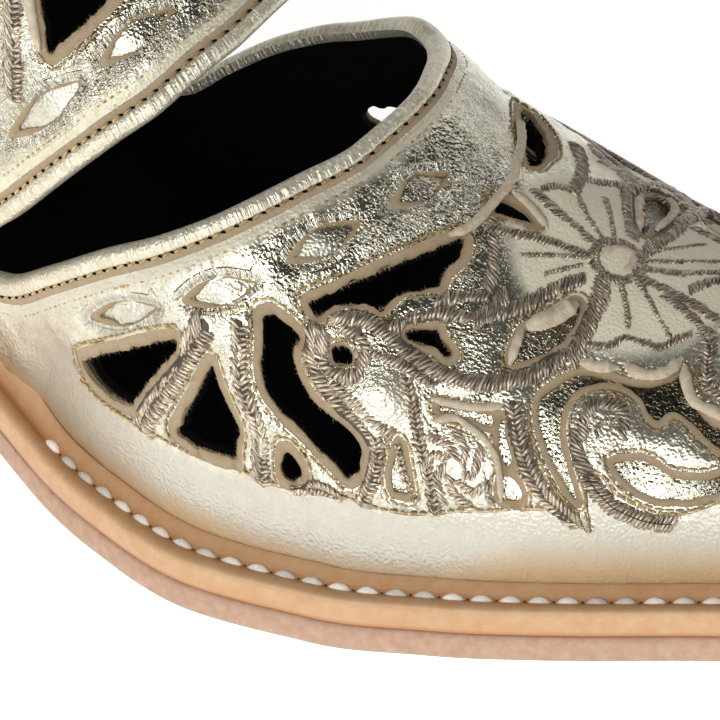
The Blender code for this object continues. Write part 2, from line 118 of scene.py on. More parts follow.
# the others of the outer half, repeated on the inner half
PAIRED_CUTOUTS = [
    [(152.6, -45.6), (153.9, -47.4), (155.8, -48.8), (157.5, -50), (157.3, -51.5), (157.5, -53.6),
     (154.6, -55.4), (151.9, -57), (149.1, -58), (149.5, -56.5), (150.5, -53.8), (151.7, -49.4)],
    [(156.6, -36.6), (157.8, -35.2), (159.4, -34.9), (161.6, -35), (161, -36.6), (161.4, -37.8),
     (162.8, -39), (164.5, -40), (167.2, -40), (169.3, -39.7), (171.3, -40), (172, -41.2),
     (172.1, -43.2), (170.9, -45), (168.8, -44.5), (166.6, -44.3), (164.5, -44), (161.9, -44),
     (159.6, -43.5), (158.4, -42), (157.7, -39.1)],
    [(162.9, -47.7), (163.8, -47.1), (165.4, -47.7), (165.5, -49), (164.6, -50.4), (163.3, -50.9),
     (162.9, -49.6)],
    [(164.9, -33.2), (165.7, -32.7), (166.1, -32), (167.4, -32), (167.8, -33.2), (166.8, -33.9),
     (165.9, -34.5), (165.2, -34.1)],
    [(171.8, -25.9), (173.8, -24), (174.9, -23), (175.7, -24.2), (177.5, -24.7), (177, -25.6),
     (175.6, -25.3), (174, -25.9), (172.3, -26.6)],
    # those of the instep band
    [(120, -3.5), (132, -3), (134, -6.5), (127, -10), (117.5, -11.5)],
    [(125, -33.2), (127.3, -28.4), (129.8, -22.4), (131.2, -17.4), (131, -14), (124, -14.5),
     (114.5, -18.5), (113.5, -22.5), (121.6, -26.4), (123.6, -30)],
    [(109.5, -25), (114.5, -31.5), (117, -40), (112, -47), (104.5, -46), (103.5, -34)],
]
# openings of the cut-work with the gold base showing in them, outer half
WINDOWS = [
    [(188.4, -23.1), (189.4, -21), (191, -18.4), (193.5, -17.3), (196.5, -16.7), (199.3, -15.6),
     (201.1, -13.4), (201.8, -11.6), (203.4, -14.2), (205.3, -15.6), (207.4, -16.6), (211, -16.2),
     (215, -13.6), (214.6, -16.6), (211.6, -19.2), (207.4, -18.3), (205.2, -17.3), (203.3, -16.9),
     (202.2, -17.8), (201.7, -19.2), (200.6, -18.9), (199.3, -17.6), (197.6, -17),
     (195.4, -17.2), (193.6, -18.1), (192.3, -19.3), (191.4, -20.8), (191.1, -22.7),
     (191.5, -24.8), (192.7, -27), (194.2, -29.1), (195.6, -30.8), (196.5, -32),
     (195.2, -31.2), (193.6, -30), (191.6, -28.6), (189.8, -26.5), (188.7, -24.8)],
    [(198.7, -25.8), (201.5, -24), (203, -23.8), (205.2, -24.3), (208.8, -23), (212, -20.6),
     (213.2, -21), (211.2, -23.3), (208.3, -25.6), (205.1, -27.1), (202.7, -27.4), (200.3, -26.9)],
    [(187.5, -33.7), (188.6, -33.1), (189.8, -33.7), (190.4, -34.8), (188, -36.2)],
    [(178.1, -30.9), (180.1, -30.1), (182.8, -28.6), (184.4, -27.9), (184.4, -29.5),
     (182.6, -29.8), (180.2, -30.4), (178.6, -31.4)],
    [(175.5, -37), (175.6, -41.4), (176.2, -42.8), (178.2, -41.8), (176.5, -38.7)],
    [(185.3, -27.4), (186.6, -29.7), (188, -31.3), (187.9, -32.6), (186.3, -31.1), (185.2, -28.7)],
]
# the two beside the flower
PETAL_WINDOWS = [
    [(183.7, -21.8), (183.3, -19.7), (183.2, -17.5), (184.1, -15.7), (185.4, -14), (186.1, -12.1),
     (186.8, -10.2), (187.6, -10.8), (188.1, -13), (187.8, -15.8), (186.9, -17.9), (185.4, -19.9)],
    [(183, 12.2), (183.1, 14.9), (183.2, 17.9), (184.4, 18.9), (186.2, 16.3), (187.7, 11.8),
     (188.4, 7.1), (188.2, 4.6), (187.3, 4.9), (185.5, 7.9)],
]
# pointed leaf openings, two tips and the greatest width; the inner side lacks the first and last
LEAVES = [((135.1, -56.8), (144.8, -45.8), 2.3), ((147.1, -43.2), (155.4, -33.6), 2.6),
          ((157.1, -29.8), (162.8, -18.9), 2.8), ((164.3, -15.6), (167.8, -5.9), 2.9)]
BAND_LEAVES = [((121.3, -47), (130, -31.4), 2.6), ((130.9, -29.4), (136.6, -16.3), 2.4),
               ((112.2, -62), (119.6, -50.6), 2.4), ((137.4, -12.6), (139.6, -1.6), 2.4)]


# ---- curves and the last -------------------------------------------------------------------
def smooth(t, column, x):
    """Monotone cubic through a table's column, held flat beyond its ends."""
    xs, ys = t["station"], t[column]
    x = np.clip(np.asarray(x, float), xs[0], xs[-1])
    h, rise = np.diff(xs), np.diff(ys) / np.diff(xs)
    slope = np.concatenate([[rise[0]], np.zeros(len(xs) - 2), [rise[-1]]])
    same = rise[:-1] * rise[1:] > 0
    a, b = 2 * h[1:] + h[:-1], h[1:] + 2 * h[:-1]
    slope[1:-1][same] = ((a + b)[same]
                         / (a[same] / rise[:-1][same] + b[same] / rise[1:][same]))
    k = np.clip(np.searchsorted(xs, x) - 1, 0, len(h) - 1)
    u = (x - xs[k]) / h[k]
    return ((1 + 2 * u) * (1 - u) ** 2 * ys[k] + u * (1 - u) ** 2 * h[k] * slope[k]
            + u * u * (3 - 2 * u) * ys[k + 1] + u * u * (u - 1) * h[k] * slope[k + 1])


def ease(x):
    """0 below 0, 1 above 1, with a level start and end: 3x^2 - 2x^3."""
    x = np.clip(x, 0, 1)
    return x * x * (3 - 2 * x)


def unit(vectors):
    """Vectors brought to length 1."""
    return vectors / (np.linalg.norm(vectors, axis=-1, keepdims=True) + 1e-9)


def hoop(side, up, turn):
    """Points of an ellipse: side cos turn + up sin turn, for every pair of directions."""
    turn = turn[:, None]
    return side[..., None, :] * np.cos(turn) + up[..., None, :] * np.sin(turn)


def rounding(inside, radius):
    """Quarter-circle growth from 0 at the end of an outline to 1 a radius further in."""
    d = np.clip(inside / radius, 0, 1)
    return np.sqrt(np.clip(1 - (1 - d) ** 2, 0, 1))


def outline_y(x, side, inset):
    """Plan outline: centre + side * (half width - inset), rounded at heel and toe."""
    half = np.maximum(smooth(OUTLINE, "half_width", x) - inset, 0.05)
    half = half * rounding(x - inset, HEEL_ROUND) * rounding(LENGTH - inset - x, TOE_ROUND)
    return smooth(OUTLINE, "centre", x) + side * half


def underside(x):
    """Height of the sole's lower face."""
    return smooth(UNDERSIDE, "height", x)


TOE_START = LENGTH - LEDGE - TOE_ROUND


def last_point(u, t):
    """Half ellipse from feather edge (t = -1, +1) over the ridge (t = 0), drawn in or swollen."""
    bend = np.clip((u - TOE_START) / TOE_ROUND, 0, np.pi / 2)
    x, toe = np.where(u < TOE_START, u, TOE_START + TOE_ROUND * np.sin(bend)), np.cos(bend)
    foot = underside(x) + SEAT
    angle = np.abs(t) * np.pi / 2
    side = np.where(t < 0, -1.0, 1.0)
    middle = smooth(OUTLINE, "centre", x)
    edge = side * (smooth(OUTLINE, "half_width", x) - LEDGE) * toe
    ridge = (smooth(RIDGE, "sideways", x) - middle) * toe
    draw = np.where(t < 0, smooth(FULLNESS, "outer", x), smooth(FULLNESS, "inner", x))
    y = middle + ridge + (edge - ridge) * np.sin(angle) ** draw
    y = y + side * smooth(FULLNESS, "swell", x) * np.sin(2 * angle)
    z = foot + (smooth(RIDGE, "height", x) - foot) * toe * np.cos(angle)
    return np.stack([x + 0 * t, y, z], -1)


# girth from the ridge at each step of t round each section, outer side negative
ROWS = np.linspace(CHART_BACK, 278.8, 391)
STEPS = np.linspace(-1, 1, 241)
NET = last_point(ROWS[:, None], STEPS[None, :])
ARC = np.concatenate([np.zeros((len(ROWS), 1)),
                      np.cumsum(np.linalg.norm(np.diff(NET, axis=1), axis=2), 1)], 1)
ARC -= ARC[:, [len(STEPS) // 2]]


def laid(flat):
    """Pattern points (u, s) laid on the last: their places and the last's outward normals."""
    u, s = np.asarray(flat, float).T
    row = np.clip((u - ROWS[0]) / (ROWS[1] - ROWS[0]), 0, len(ROWS) - 1.001)
    i = row.astype(int)
    arc = ARC[i] * (1 - (row - i))[:, None] + ARC[i + 1] * (row - i)[:, None]
    k = np.clip((arc < s[:, None]).sum(1) - 1, 0, len(STEPS) - 2)
    n = np.arange(len(u))
    part = (s - arc[n, k]) / np.maximum(arc[n, k + 1] - arc[n, k], 1e-9)
    t = np.clip(STEPS[k] + part * (STEPS[1] - STEPS[0]), -1, 1)
    ahead = last_point(np.minimum(u + 0.2, 278.9), t) - last_point(u - 0.2, t)
    girth = (last_point(u, np.clip(t + 0.004, -0.9999, 0.9999))
             - last_point(u, np.clip(t - 0.004, -0.9999, 0.9999)))
    return last_point(u, t), unit(np.cross(ahead, girth))


def run_along(path):
    """Length run so far at each point of a path."""
    return np.concatenate([[0], np.cumsum(np.linalg.norm(np.diff(path, axis=0), axis=1))])


def at(path, lengths):
    """Points of a path where it has run the given lengths."""
    run = run_along(path)
    return np.stack([np.interp(lengths, run, column) for column in path.T], 1)


def bent(path, spacing):
    """Evenly spaced points on the smooth curve through a path, in any number of dimensions."""
    path = np.asarray(path, float)
    run = run_along(path)
    even = np.linspace(0, run[-1], max(int(round(run[-1] / spacing)), 2) + 1)
    return np.stack([smooth({"station": run, "v": c}, "v", even) for c in path.T], 1)


def closed(path):
    """Path that comes back to its first point."""
    return np.concatenate([path, path[:1]])


def rounded(corners, spacing=0.5, cut=0.1):
    """Closed polygon with its corners cut twice, then spaced evenly."""
    p = np.array(corners, float)
    for _ in range(2):
        q = np.roll(p, -1, axis=0)
        p = np.stack([p * (1 - cut) + q * cut, p * cut + q * (1 - cut)], 1).reshape(-1, 2)
    p = closed(p)
    girth = run_along(p)[-1]
    return at(p, np.linspace(0, girth, max(int(girth / spacing), 6), endpoint=False))


def mirrored(path):
    """The same shape on the inner side of the pattern."""
    return [(u, -s * GIRTH_RATIO) for u, s in path][::-1]


def both(shapes):
    """The shapes of the outer half, then the same on the inner half."""
    shapes = list(shapes)
    return shapes + [mirrored(s) for s in shapes]


def leaf(tip, end, width, power=0.9):
    """Pointed leaf between two tips: bow of width * sin(pi t)^power on each side of its rib."""
    tip, end = np.array(tip, float), np.array(end, float)
    t = np.linspace(0, 1, 20)[:, None]
    across = unit(np.array([-(end - tip)[1], (end - tip)[0]]))
    bow = np.sin(np.pi * t) ** power * width / 2
    rib = tip + (end - tip) * t
    return np.concatenate([rib + across * bow, (rib - across * bow)[-2:0:-1]])


# ---- distance fields over the pattern ------------------------------------------------------
CELL = 0.4
GRID_U = np.arange(CHART_BACK, CHART_FRONT, CELL)
GRID_S = np.arange(-CHART_GIRTH, CHART_GIRTH, CELL)
UU, SS = np.meshgrid(GRID_U, GRID_S, indexing="ij")
# distance to the nearest edge of all so far and the length run along it, for the puckers
NEAR, ALONG = np.full(UU.shape, 99.0), np.zeros(UU.shape)


def distance(path, shut=True, reach=5.0):
    """Distance from every grid point to a path, negative inside a shut one, capped at reach. What
    lies nearer to it than to any edge before it is noted in NEAR and ALONG."""
    p = np.asarray(path, float)
    ends = np.roll(p, -1, axis=0)
    (i0, j0), (i1, j1) = (np.clip([np.searchsorted(GRID_U, e[0]), np.searchsorted(GRID_S, e[1])],
                                  0, UU.shape) for e in (p.min(0) - reach, p.max(0) + reach))
    u, s = UU[i0:i1, j0:j1], SS[i0:i1, j0:j1]
    near, odd = np.full(u.shape, float(reach)), np.zeros(u.shape, bool)
    along, run = np.zeros(u.shape), 0.0
    for a, b in zip(p, ends) if shut else zip(p[:-1], p[1:]):
        d = b - a
        t = np.clip(((u - a[0]) * d[0] + (s - a[1]) * d[1]) / (d @ d + 1e-12), 0, 1)
        gap = np.hypot(u - a[0] - t * d[0], s - a[1] - t * d[1])
        along = np.where(gap < near, run + t * np.hypot(*d), along)
        near = np.minimum(near, gap)
        run += np.hypot(*d)
        odd ^= ((a[1] > s) != (b[1] > s)) & (u < a[0] + (s - a[1]) * d[0] / (d[1] or 1.0))
    field = np.full(UU.shape, float(reach))
    field[i0:i1, j0:j1] = np.where(odd & shut, -near, near)
    closer = near < NEAR[i0:i1, j0:j1]
    NEAR[i0:i1, j0:j1][closer] = near[closer]
    ALONG[i0:i1, j0:j1][closer] = along[closer]
    return field


def nearest(shapes):
    """Field of several shut shapes together."""
    field = distance(shapes[0])
    for shape in shapes[1:]:
        field = np.minimum(field, distance(shape))
    return field


def within(*fields):
    """Field of what lies inside every one of the fields."""
    return np.max(fields, axis=0)


def sample(field, flat):
    """Field value at pattern points, straight between grid points."""
    a = np.clip((flat[:, 0] - GRID_U[0]) / CELL, 0, UU.shape[0] - 1.001)
    b = np.clip((flat[:, 1] - GRID_S[0]) / CELL, 0, UU.shape[1] - 1.001)
    i, j = a.astype(int), b.astype(int)
    a, b = a - i, b - j
    return ((field[i, j] * (1 - a) + field[i + 1, j] * a) * (1 - b)
            + (field[i, j + 1] * (1 - a) + field[i + 1, j + 1] * a) * b)


def blurred(noise, times):
    """Noise averaged with its neighbours a number of times, brought back to unit size."""
    for _ in range(times):
        noise = noise + np.roll(noise, 1, 0) + np.roll(noise, 1, 1)
        noise = noise + np.roll(noise, -1, 0) + np.roll(noise, -1, 1)
    return noise / noise.std()


rng = np.random.default_rng(11)
# torn edges, broad rolls and short creases of the leather
FRAY = blurred(rng.normal(size=UU.shape), 1) * 0.07 + blurred(rng.normal(size=UU.shape), 6) * 0.09
ROLL = blurred(rng.normal(size=UU.shape), 14)
CREASE = blurred(rng.normal(size=UU.shape), 4)

# inside: what is lasted, between the two feather edges
FEATHER = within(np.interp(GRID_U, ROWS, ARC[:, 0])[:, None] - SS,
                 SS - np.interp(GRID_U, ROWS, ARC[:, -1])[:, None], UU - LASTED_TOE,
                 LASTED_BACK - UU)
LENS = distance(np.concatenate([bent(THROAT, 1.0), bent(BAND_FRONT, 1.0)]), reach=12)
REAR = distance(np.concatenate([bent(BAND_REAR, 1.0), [(60, -110), (60, 110)]]), reach=12)
OPENINGS = np.minimum(LENS, REAR)
CUTOUTS = both(PAIRED_CUTOUTS) + SINGLE_CUTOUTS
HOLES = nearest([rounded(c, 0.4) for c in CUTOUTS])
GAPS = nearest([rounded(c) for c in both(WINDOWS) + PETAL_WINDOWS])
LEAF = nearest([leaf(*x) for x in LEAVES + BAND_LEAVES]
               + [mirrored(leaf(*x)) for x in LEAVES[1:3] + BAND_LEAVES])
# the gold pillow that shows in a leaf is more pointed, so raw edge is bare at the leaf's ends
PILLOW = nearest(both(leaf((tip[0] * 0.91 + end[0] * 0.09, tip[1] * 0.91 + end[1] * 0.09), end,
                           width * 0.96, 1.9) for tip, end, width in LEAVES + BAND_LEAVES))
RADIAL = LEAF < NEAR + 0.01             # puckers radiate from the leaves
# raw edge left bare beside each hole, narrow where embroidery runs up to it: place and reach
TIGHT = [(166.2, -29.6, 4.2), (166.4, -33, 2.6), (171.6, -22.2, 3.4), (175.6, -6.4, 2.2),
         (160.2, -50.5, 2.4)]
BARE = np.full(UU.shape, HOLE_EDGE)
for u, s, reach in TIGHT:
    for centre in (s, -s * GIRTH_RATIO):
        BARE -= 0.7 * np.exp(-((UU - u) ** 2 + (SS - centre) ** 2) / reach ** 2)
BARE = np.maximum(BARE, 0.3)
# plain foxing, below the lower edge of the cut-work and on round the chart
LOW_EDGE = bent(OVERLAY_LOW, 0.8)
FOXING = distance(np.concatenate([LOW_EDGE, mirrored(LOW_EDGE), [
    (122, 112), (290, 112), (290, -112), (122, -112)]]), reach=12)


# ---- surfaces ------------------------------------------------------------------------------
def crossings(field, level):
    """Points where grid lines cross a level of a field, and the pairs joined across a cell. They
    keep a little off the grid points, so that no edge is too short."""
    g, least = field - level, 0.08 * CELL
    g = np.where(np.abs(g) < least, np.where(g > 0, least, -least), g)
    above = g > 0
    iu, ju = np.nonzero(above[1:] != above[:-1])
    iv, jv = np.nonzero(above[:, 1:] != above[:, :-1])
    named_u = np.full((g.shape[0] - 1, g.shape[1]), -1)
    named_v = np.full((g.shape[0], g.shape[1] - 1), -1)
    named_u[iu, ju] = np.arange(len(iu))
    named_v[iv, jv] = len(iu) + np.arange(len(iv))
    fu = g[iu, ju] / (g[iu, ju] - g[iu + 1, ju])
    fv = g[iv, jv] / (g[iv, jv] - g[iv, jv + 1])
    points = np.concatenate([np.stack([GRID_U[iu] + fu * CELL, GRID_S[ju]], 1),
                             np.stack([GRID_U[iv], GRID_S[jv] + fv * CELL], 1)])
    around = np.stack([named_u[:, :-1], named_u[:, 1:], named_v[:-1], named_v[1:]], -1)
    count = (around >= 0).sum(-1)
    four = around[count == 4]
    return points, np.concatenate([np.sort(around[count == 2], 1)[:, 2:], four[:, [0, 2]],
                                   four[:, [1, 3]]])


def flat_piece(field, rows, spacing):
    """Flat piece where the field is negative: contour rows behind its edge, staggered points in
    between, joined into triangles that all turn the same way."""
    points, edges, count = [], [], 0
    for depth in rows:
        p, e = crossings(field, -depth)
        points.append(p)
        edges.append(e + count)
        count += len(p)
    pack = 0.866                        # height of a row of equal triangles against its spacing
    j, i = np.mgrid[0:int(2 * CHART_GIRTH / spacing / pack),
                    0:int((CHART_FRONT - CHART_BACK) / spacing)]
    grid = np.stack([CHART_BACK + (i + 0.5 * (j % 2)) * spacing,
                     -CHART_GIRTH + j * spacing * pack], -1).reshape(-1, 2)
    points.append(grid[sample(field, grid) < -rows[-1] - 0.5 * spacing])
    points = np.concatenate(points)
    cut = delaunay_2d_cdt([Vector(p) for p in points], np.concatenate(edges).tolist(), [], 0, 1e-4)
    flat = np.array([tuple(v) for v in cut[0]])
    faces = np.array([f for f in cut[2] if len(f) == 3])
    faces = faces[sample(field, flat[faces].mean(1)) < 0]
    a, b, c = flat[faces[:, 0]], flat[faces[:, 1]], flat[faces[:, 2]]
    turn = (b - a)[:, 0] * (c - a)[:, 1] - (b - a)[:, 1] * (c - a)[:, 0]
    faces[turn < 0] = faces[turn < 0][:, ::-1]
    used = np.unique(faces)
    renumber = np.full(len(flat), -1)
    renumber[used] = np.arange(len(used))
    return flat[used], renumber[faces]


def placed(name, data):
    """New object in the scene."""
    item = bpy.data.objects.new(name, data)
    bpy.context.scene.collection.objects.link(item)
    return item


def make(name, points, faces, material, marks=None, sharp=0.8):
    """Object from millimetre points and faces of one size each, riding on the shoe."""
    mesh = bpy.data.meshes.new(name)
    mesh.from_pydata(((np.asarray(points) - CENTRE) * MM).tolist(), [], faces)
    mesh.polygons.foreach_set("use_smooth", np.ones(len(mesh.polygons), bool))
    if sharp:
        mesh.set_sharp_from_angle(angle=sharp)
    for label, values in (marks or {}).items():
        mark = mesh.attributes.new(label, "FLOAT_VECTOR", "POINT")
        mark.data.foreach_set("vector", np.asarray(values, np.float32).ravel())
    mesh.materials.append(material)
    item = placed(name, mesh)
    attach(item, "root")
    return item


def sheet(name, field, rows, spacing, low, high, finish, material):
    """Leather piece of real thickness: both faces of the flat piece and the cut edges between. low
    and high give the lifts, finish gives (crumple, burnish, painted shade) and, if wanted, matt; on
    raw leather the third part is grime and painted shade."""
    flat, faces = flat_piece(field, rows, spacing)
    depth = -sample(field, flat)
    place, normal = laid(flat)
    n = len(flat)
    points = np.concatenate([place + normal * (high(flat, depth) + 0 * depth)[:, None],
                             place + normal * (low(flat, depth) + 0 * depth)[:, None]])
    sides = faces[:, [0, 1, 1, 2, 2, 0]].reshape(-1, 2)
    key, back = sides[:, 0] * n + sides[:, 1], sides[:, 1] * n + sides[:, 0]
    a, b = sides[~np.isin(key, back)].T
    walls = np.concatenate([np.stack([b, a, a + n], 1), np.stack([b, a + n, b + n], 1)])
    every = np.concatenate([faces, faces[:, ::-1] + n, walls])
    marks = np.stack(np.broadcast_arrays(*finish(flat, depth), 0, depth), 1)
    mark, matt = marks[:, :3], marks[:, 3]
    cell = np.round((flat - (GRID_U[0], GRID_S[0])) / CELL).astype(int)
    cell = tuple(cell.clip(0, np.array(UU.shape) - 1).T)
    seam = np.stack([ALONG[cell], depth * np.where(RADIAL[cell], 0.4, 1.0), matt], 1)
    torn = faces[np.ptp(seam[faces, 0], axis=1) > 3.2]
    seam[torn.ravel(), 1] = 9.0                     # no puckers where two seams' lengths meet
    return make(name, points, every.tolist(), material,
                {"finish": np.concatenate([mark, mark]), "seam": np.concatenate([seam, seam])})


def grid_faces(rows, columns, turn=False):
    """Quads of a grid of points whose last column joins the first; turn faces them inwards."""
    i, j = np.mgrid[0:rows - 1, 0:columns]
    k = (j + 1) % columns
    quads = np.stack([i * columns + j, i * columns + k, (i + 1) * columns + k,
                      (i + 1) * columns + j], -1).reshape(-1, 4)
    return quads[:, ::-1] if turn else quads


def capped(count, rows, columns):
    """Faces of so many tubes of rows x columns points, each with both its ends filled in."""
    first = np.arange(count)[:, None] * (rows * columns)
    ring = np.arange(columns)
    walls = (grid_faces(rows, columns)[None] + first[..., None]).reshape(-1, 4).tolist()
    return (walls + (first + ring[::-1]).tolist()
            + (first + (rows - 1) * columns + ring).tolist())


def tube(name, rings, material, marks=None):
    """Closed rings joined in order, with both end rings filled in."""
    return make(name, rings.reshape(-1, 3), capped(1, *rings.shape[:2]), material, marks)


# ---- materials -----------------------------------------------------------------------------
def colour(text):
    """sRGB hex as linear RGBA."""
    c = np.array([int(text[i:i + 2], 16) for i in (1, 3, 5)]) / 255
    return (*np.where(c <= 0.04045, c / 12.92, ((c + 0.055) / 1.055) ** 2.4), 1.0)


def add(tree, kind, settings=None, out=0, **links):
    """Adds a node and gives its output: settings are properties or input values, links join
    inputs to sockets."""
    node = tree.nodes.new("ShaderNode" + kind)
    for key, value in (settings or {}).items():
        if isinstance(key, str) and hasattr(node, key):
            setattr(node, key, value)
        else:
            node.inputs[key].default_value = value
    for key, socket in links.items():
        tree.links.new(socket, node.inputs[int(key[1:]) if key[1:].isdigit() else
                                           key.replace("_", " ")])
    return node.outputs[out]


def ramp(tree, factor, stops):
    """Colour ramp through (place, hex colour or grey number) stops."""
    node = tree.nodes.new("ShaderNodeValToRGB")
    tree.links.new(factor, node.inputs[0])
    points = node.color_ramp.elements
    while len(points) < len(stops):
        points.new(0.5)
    for point, (place, value) in zip(points, stops):
        point.position = place
        point.color = colour(value) if isinstance(value, str) else (value, value, value, 1)
    return node.outputs[0]


def leather(name):
    """New material, its tree and object coordinates in millimetres."""
    material = bpy.data.materials.new(name)
    material.use_nodes = True
    tree = material.node_tree
    place = add(tree, "TexCoord", out="Object")
    mm = add(tree, "VectorMath", {"operation": "SCALE", "Scale": 1000.0}, _0=place)
    return material, tree, mm


def surface(tree, height, depth, strength=0.9, **inputs):
    """Bumps of a height field, depth metres deep, and the shader's other inputs by name: sockets
    or values."""
    shader = tree.nodes["Principled BSDF"]
    bump = add(tree, "Bump", {"Strength": strength, "Distance": depth}, Height=height)
    for name, value in {"Normal": bump, **inputs}.items():
        socket = shader.inputs[name.replace("_", " ")]
        if isinstance(value, bpy.types.NodeSocket):
            tree.links.new(value, socket)
        else:
            socket.default_value = value


def gold_foil():
    """Calf leather laminated with pale gold foil: a metal skin crumpled into flat cells between
    raised creases, puckered along its seams, burnished amber where it meets the welt."""
    material, tree, mm = leather("gold_foil_leather")
    finish = add(tree, "Attribute", {"attribute_name": "finish"}, "Vector")
    crumple, burnish, painted_shade = add(tree, "SeparateXYZ", _0=finish).node.outputs
    seam = add(tree, "Attribute", {"attribute_name": "seam"}, "Vector")
    away, matt = add(tree, "SeparateXYZ", _0=seam).node.outputs[1:3]
    # patches a centimetre across, some mirror-like, some crazed all over
    cloud = add(tree, "TexNoise", {"Scale": 0.13, "Detail": 3.0}, Vector=mm)
    cloud = ramp(tree, cloud, [(0.42, 0.2), (0.56, 1.0)])
    crazed = add(tree, "Math", {"operation": "MULTIPLY"}, _0=cloud, _1=crumple)
    swirl = add(tree, "TexNoise", {"Scale": 0.9, "Detail": 3.0}, "Color", Vector=mm)
    warped = add(tree, "VectorMath", {"operation": "MULTIPLY_ADD", 1: (0.8, 0.8, 0.8)},
                 _0=swirl, _2=mm)
    # raised creases round cells of 0.5 mm and 1.6 mm
    fine = add(tree, "TexVoronoi", {"feature": "DISTANCE_TO_EDGE", "Scale": 2.0}, Vector=warped)
    wide = add(tree, "TexVoronoi", {"feature": "DISTANCE_TO_EDGE", "Scale": 0.62}, Vector=warped)
    fine = ramp(tree, fine, [(0.0, 1.0), (0.16, 0.0)])
    wide = ramp(tree, wide, [(0.0, 1.0), (0.07, 0.0)])
    # folds of the skin 4 mm long, dents 0.8 mm long, pores 0.4 mm apart
    folds = add(tree, "TexNoise", {"noise_type": "RIDGED_MULTIFRACTAL", "Scale": 0.3,
                                   "Detail": 3.0, "Roughness": 0.5}, Vector=mm)
    dents = add(tree, "TexNoise", {"Scale": 1.3, "Detail": 3.0, "Distortion": 0.8}, Vector=mm)
    grain = add(tree, "TexVoronoi", {"feature": "SMOOTH_F1", "Scale": 2.6}, Vector=mm)
    # puckers run square to the seam, 0.6 mm apart, and die out 1.2 mm into the skin
    drawn = add(tree, "VectorMath", {"operation": "MULTIPLY", 1: (2.0, 0.4, 0.0)}, _0=seam)
    pucker = add(tree, "TexNoise", {"Scale": 1.0, "Detail": 2.0}, Vector=drawn)
    fade = add(tree, "MapRange", {"From Min": 0.0, "From Max": 1.2, "To Min": 1.0, "To Max": 0.0},
               _0=away)
    puff = ramp(tree, crumple, [(0.05, 0.0), (0.3, 1.0)])
    pinch = add(tree, "Math", {"operation": "MULTIPLY"}, _0=fade, _1=puff)
    height = add(tree, "Math", {"operation": "MULTIPLY", 1: 0.38}, _0=grain)
    for layer, where, share in ((fine, crazed, 0.17), (wide, crumple, 0.102),
                                (folds, crumple, 1.1), (dents, crazed, 0.7),
                                (pucker, pinch, 1.9)):
        layer = add(tree, "Math", {"operation": "MULTIPLY"}, _0=layer, _1=where)
        height = add(tree, "Math", {"operation": "MULTIPLY_ADD", 1: share}, _0=layer, _2=height)
    # pale gold; satin where it is smooth, brown where ironed, cream where dull, dark where painted
    # shade is laid on
    tone = add(tree, "TexNoise", {"Scale": 0.6, "Detail": 6.0, "Roughness": 0.7}, Vector=mm)
    tone = ramp(tree, tone, [(0.35, "#d3cbae"), (0.65, "#f4f0e0")])
    satin = ramp(tree, crumple, [(0.04, 0.8), (0.3, 0.0)])
    for share, stain in ((satin, "#dad6c8"), (burnish, "#cda163"), (matt, "#f4ebcf"),
                         (painted_shade, "#4b4534")):
        tone = add(tree, "Mix", {"data_type": "RGBA", 7: colour(stain)}, 2, _0=share, _6=tone)
    rough = add(tree, "MapRange", {"From Min": 0.0, "From Max": 0.6, "To Min": 0.42,
                                   "To Max": 0.15}, _0=crumple)
    rough = add(tree, "Math", {"operation": "MULTIPLY_ADD", 1: 0.3}, _0=matt, _2=rough)
    metal = add(tree, "MapRange", {"From Max": 0.8, "To Min": 0.95, "To Max": 0.45}, _0=satin)
    for share, loss in ((matt, -0.85), (burnish, -0.7)):
        metal = add(tree, "Math", {"operation": "MULTIPLY_ADD", 1: loss, "use_clamp": True},
                    _0=share, _2=metal)
    surface(tree, height, 0.0003, 1.0, Base_Color=tone, Roughness=rough, Metallic=metal)
    return material


def plain(name, light, dark, grain_mm, depth_mm, roughness, stretch=(1, 1, 1), second_tone=None,
          **more):
    """Non-metal leather, cloth or rubber: two tones in a soft noise and a grain of bumps. worn is
    the colour it takes where the third part of its finish is 1."""
    material, tree, mm = leather(name)
    drawn = add(tree, "VectorMath", {"operation": "MULTIPLY", 1: stretch}, _0=mm)
    cloud = add(tree, "TexNoise", {"Scale": 0.25 / grain_mm, "Detail": 6.0, "Roughness": 0.6},
                Vector=drawn)
    grain = add(tree, "TexNoise", {"Scale": 1.0 / grain_mm, "Detail": 4.0, "Roughness": 0.65},
                Vector=drawn)
    tone = ramp(tree, cloud, [(0.3, dark), (0.7, light)])
    if second_tone:
        finish = add(tree, "Attribute", {"attribute_name": "finish"}, "Vector")
        share = add(tree, "SeparateXYZ", out=2, _0=finish)
        tone = add(tree, "Mix", {"data_type": "RGBA", 7: colour(second_tone)}, 2, _0=share, _6=tone)
    surface(tree, grain, depth_mm * MM, Base_Color=tone, Roughness=roughness, **more)
    return material


def thread(name, light, dark, roughness, twist, **more):
    """Yarn of fine filaments that wind round each strand: streaks of light and dark silk. twist is
    how far they turn in a millimetre."""
    material, tree, _ = leather(name)
    strand = add(tree, "Attribute", {"attribute_name": "strand"}, "Vector")
    along, around, shade = add(tree, "SeparateXYZ", _0=strand).node.outputs
    wound = add(tree, "Math", {"operation": "MULTIPLY_ADD", 1: twist}, _0=along, _2=around)
    lane = add(tree, "CombineXYZ", _0=along, _1=wound, _2=shade)
    lane = add(tree, "VectorMath", {"operation": "MULTIPLY", 1: (0.5, 1.7, 60.0)}, _0=lane)
    wave = add(tree, "TexNoise", {"Scale": 1.0, "Detail": 3.0, "Roughness": 0.6}, Vector=lane)
    tone = ramp(tree, wave, [(0.36, dark), (0.62, light)])
    # brightness of each stitch from its third mark: its random tone and its painted highlight
    shine = add(tree, "MapRange", {"From Min": 0.0, "From Max": 2.0, "To Min": 0.75,
                                   "To Max": 1.9}, _0=shade)
    tone = add(tree, "VectorMath", {"operation": "SCALE"}, _0=tone, Scale=shine)
    surface(tree, wave, 0.00008, Base_Color=tone, Roughness=roughness, **more)
    return material


# calf under cracked, puckered gold foil, the bright skin of the whole shoe
GOLD = gold_foil()
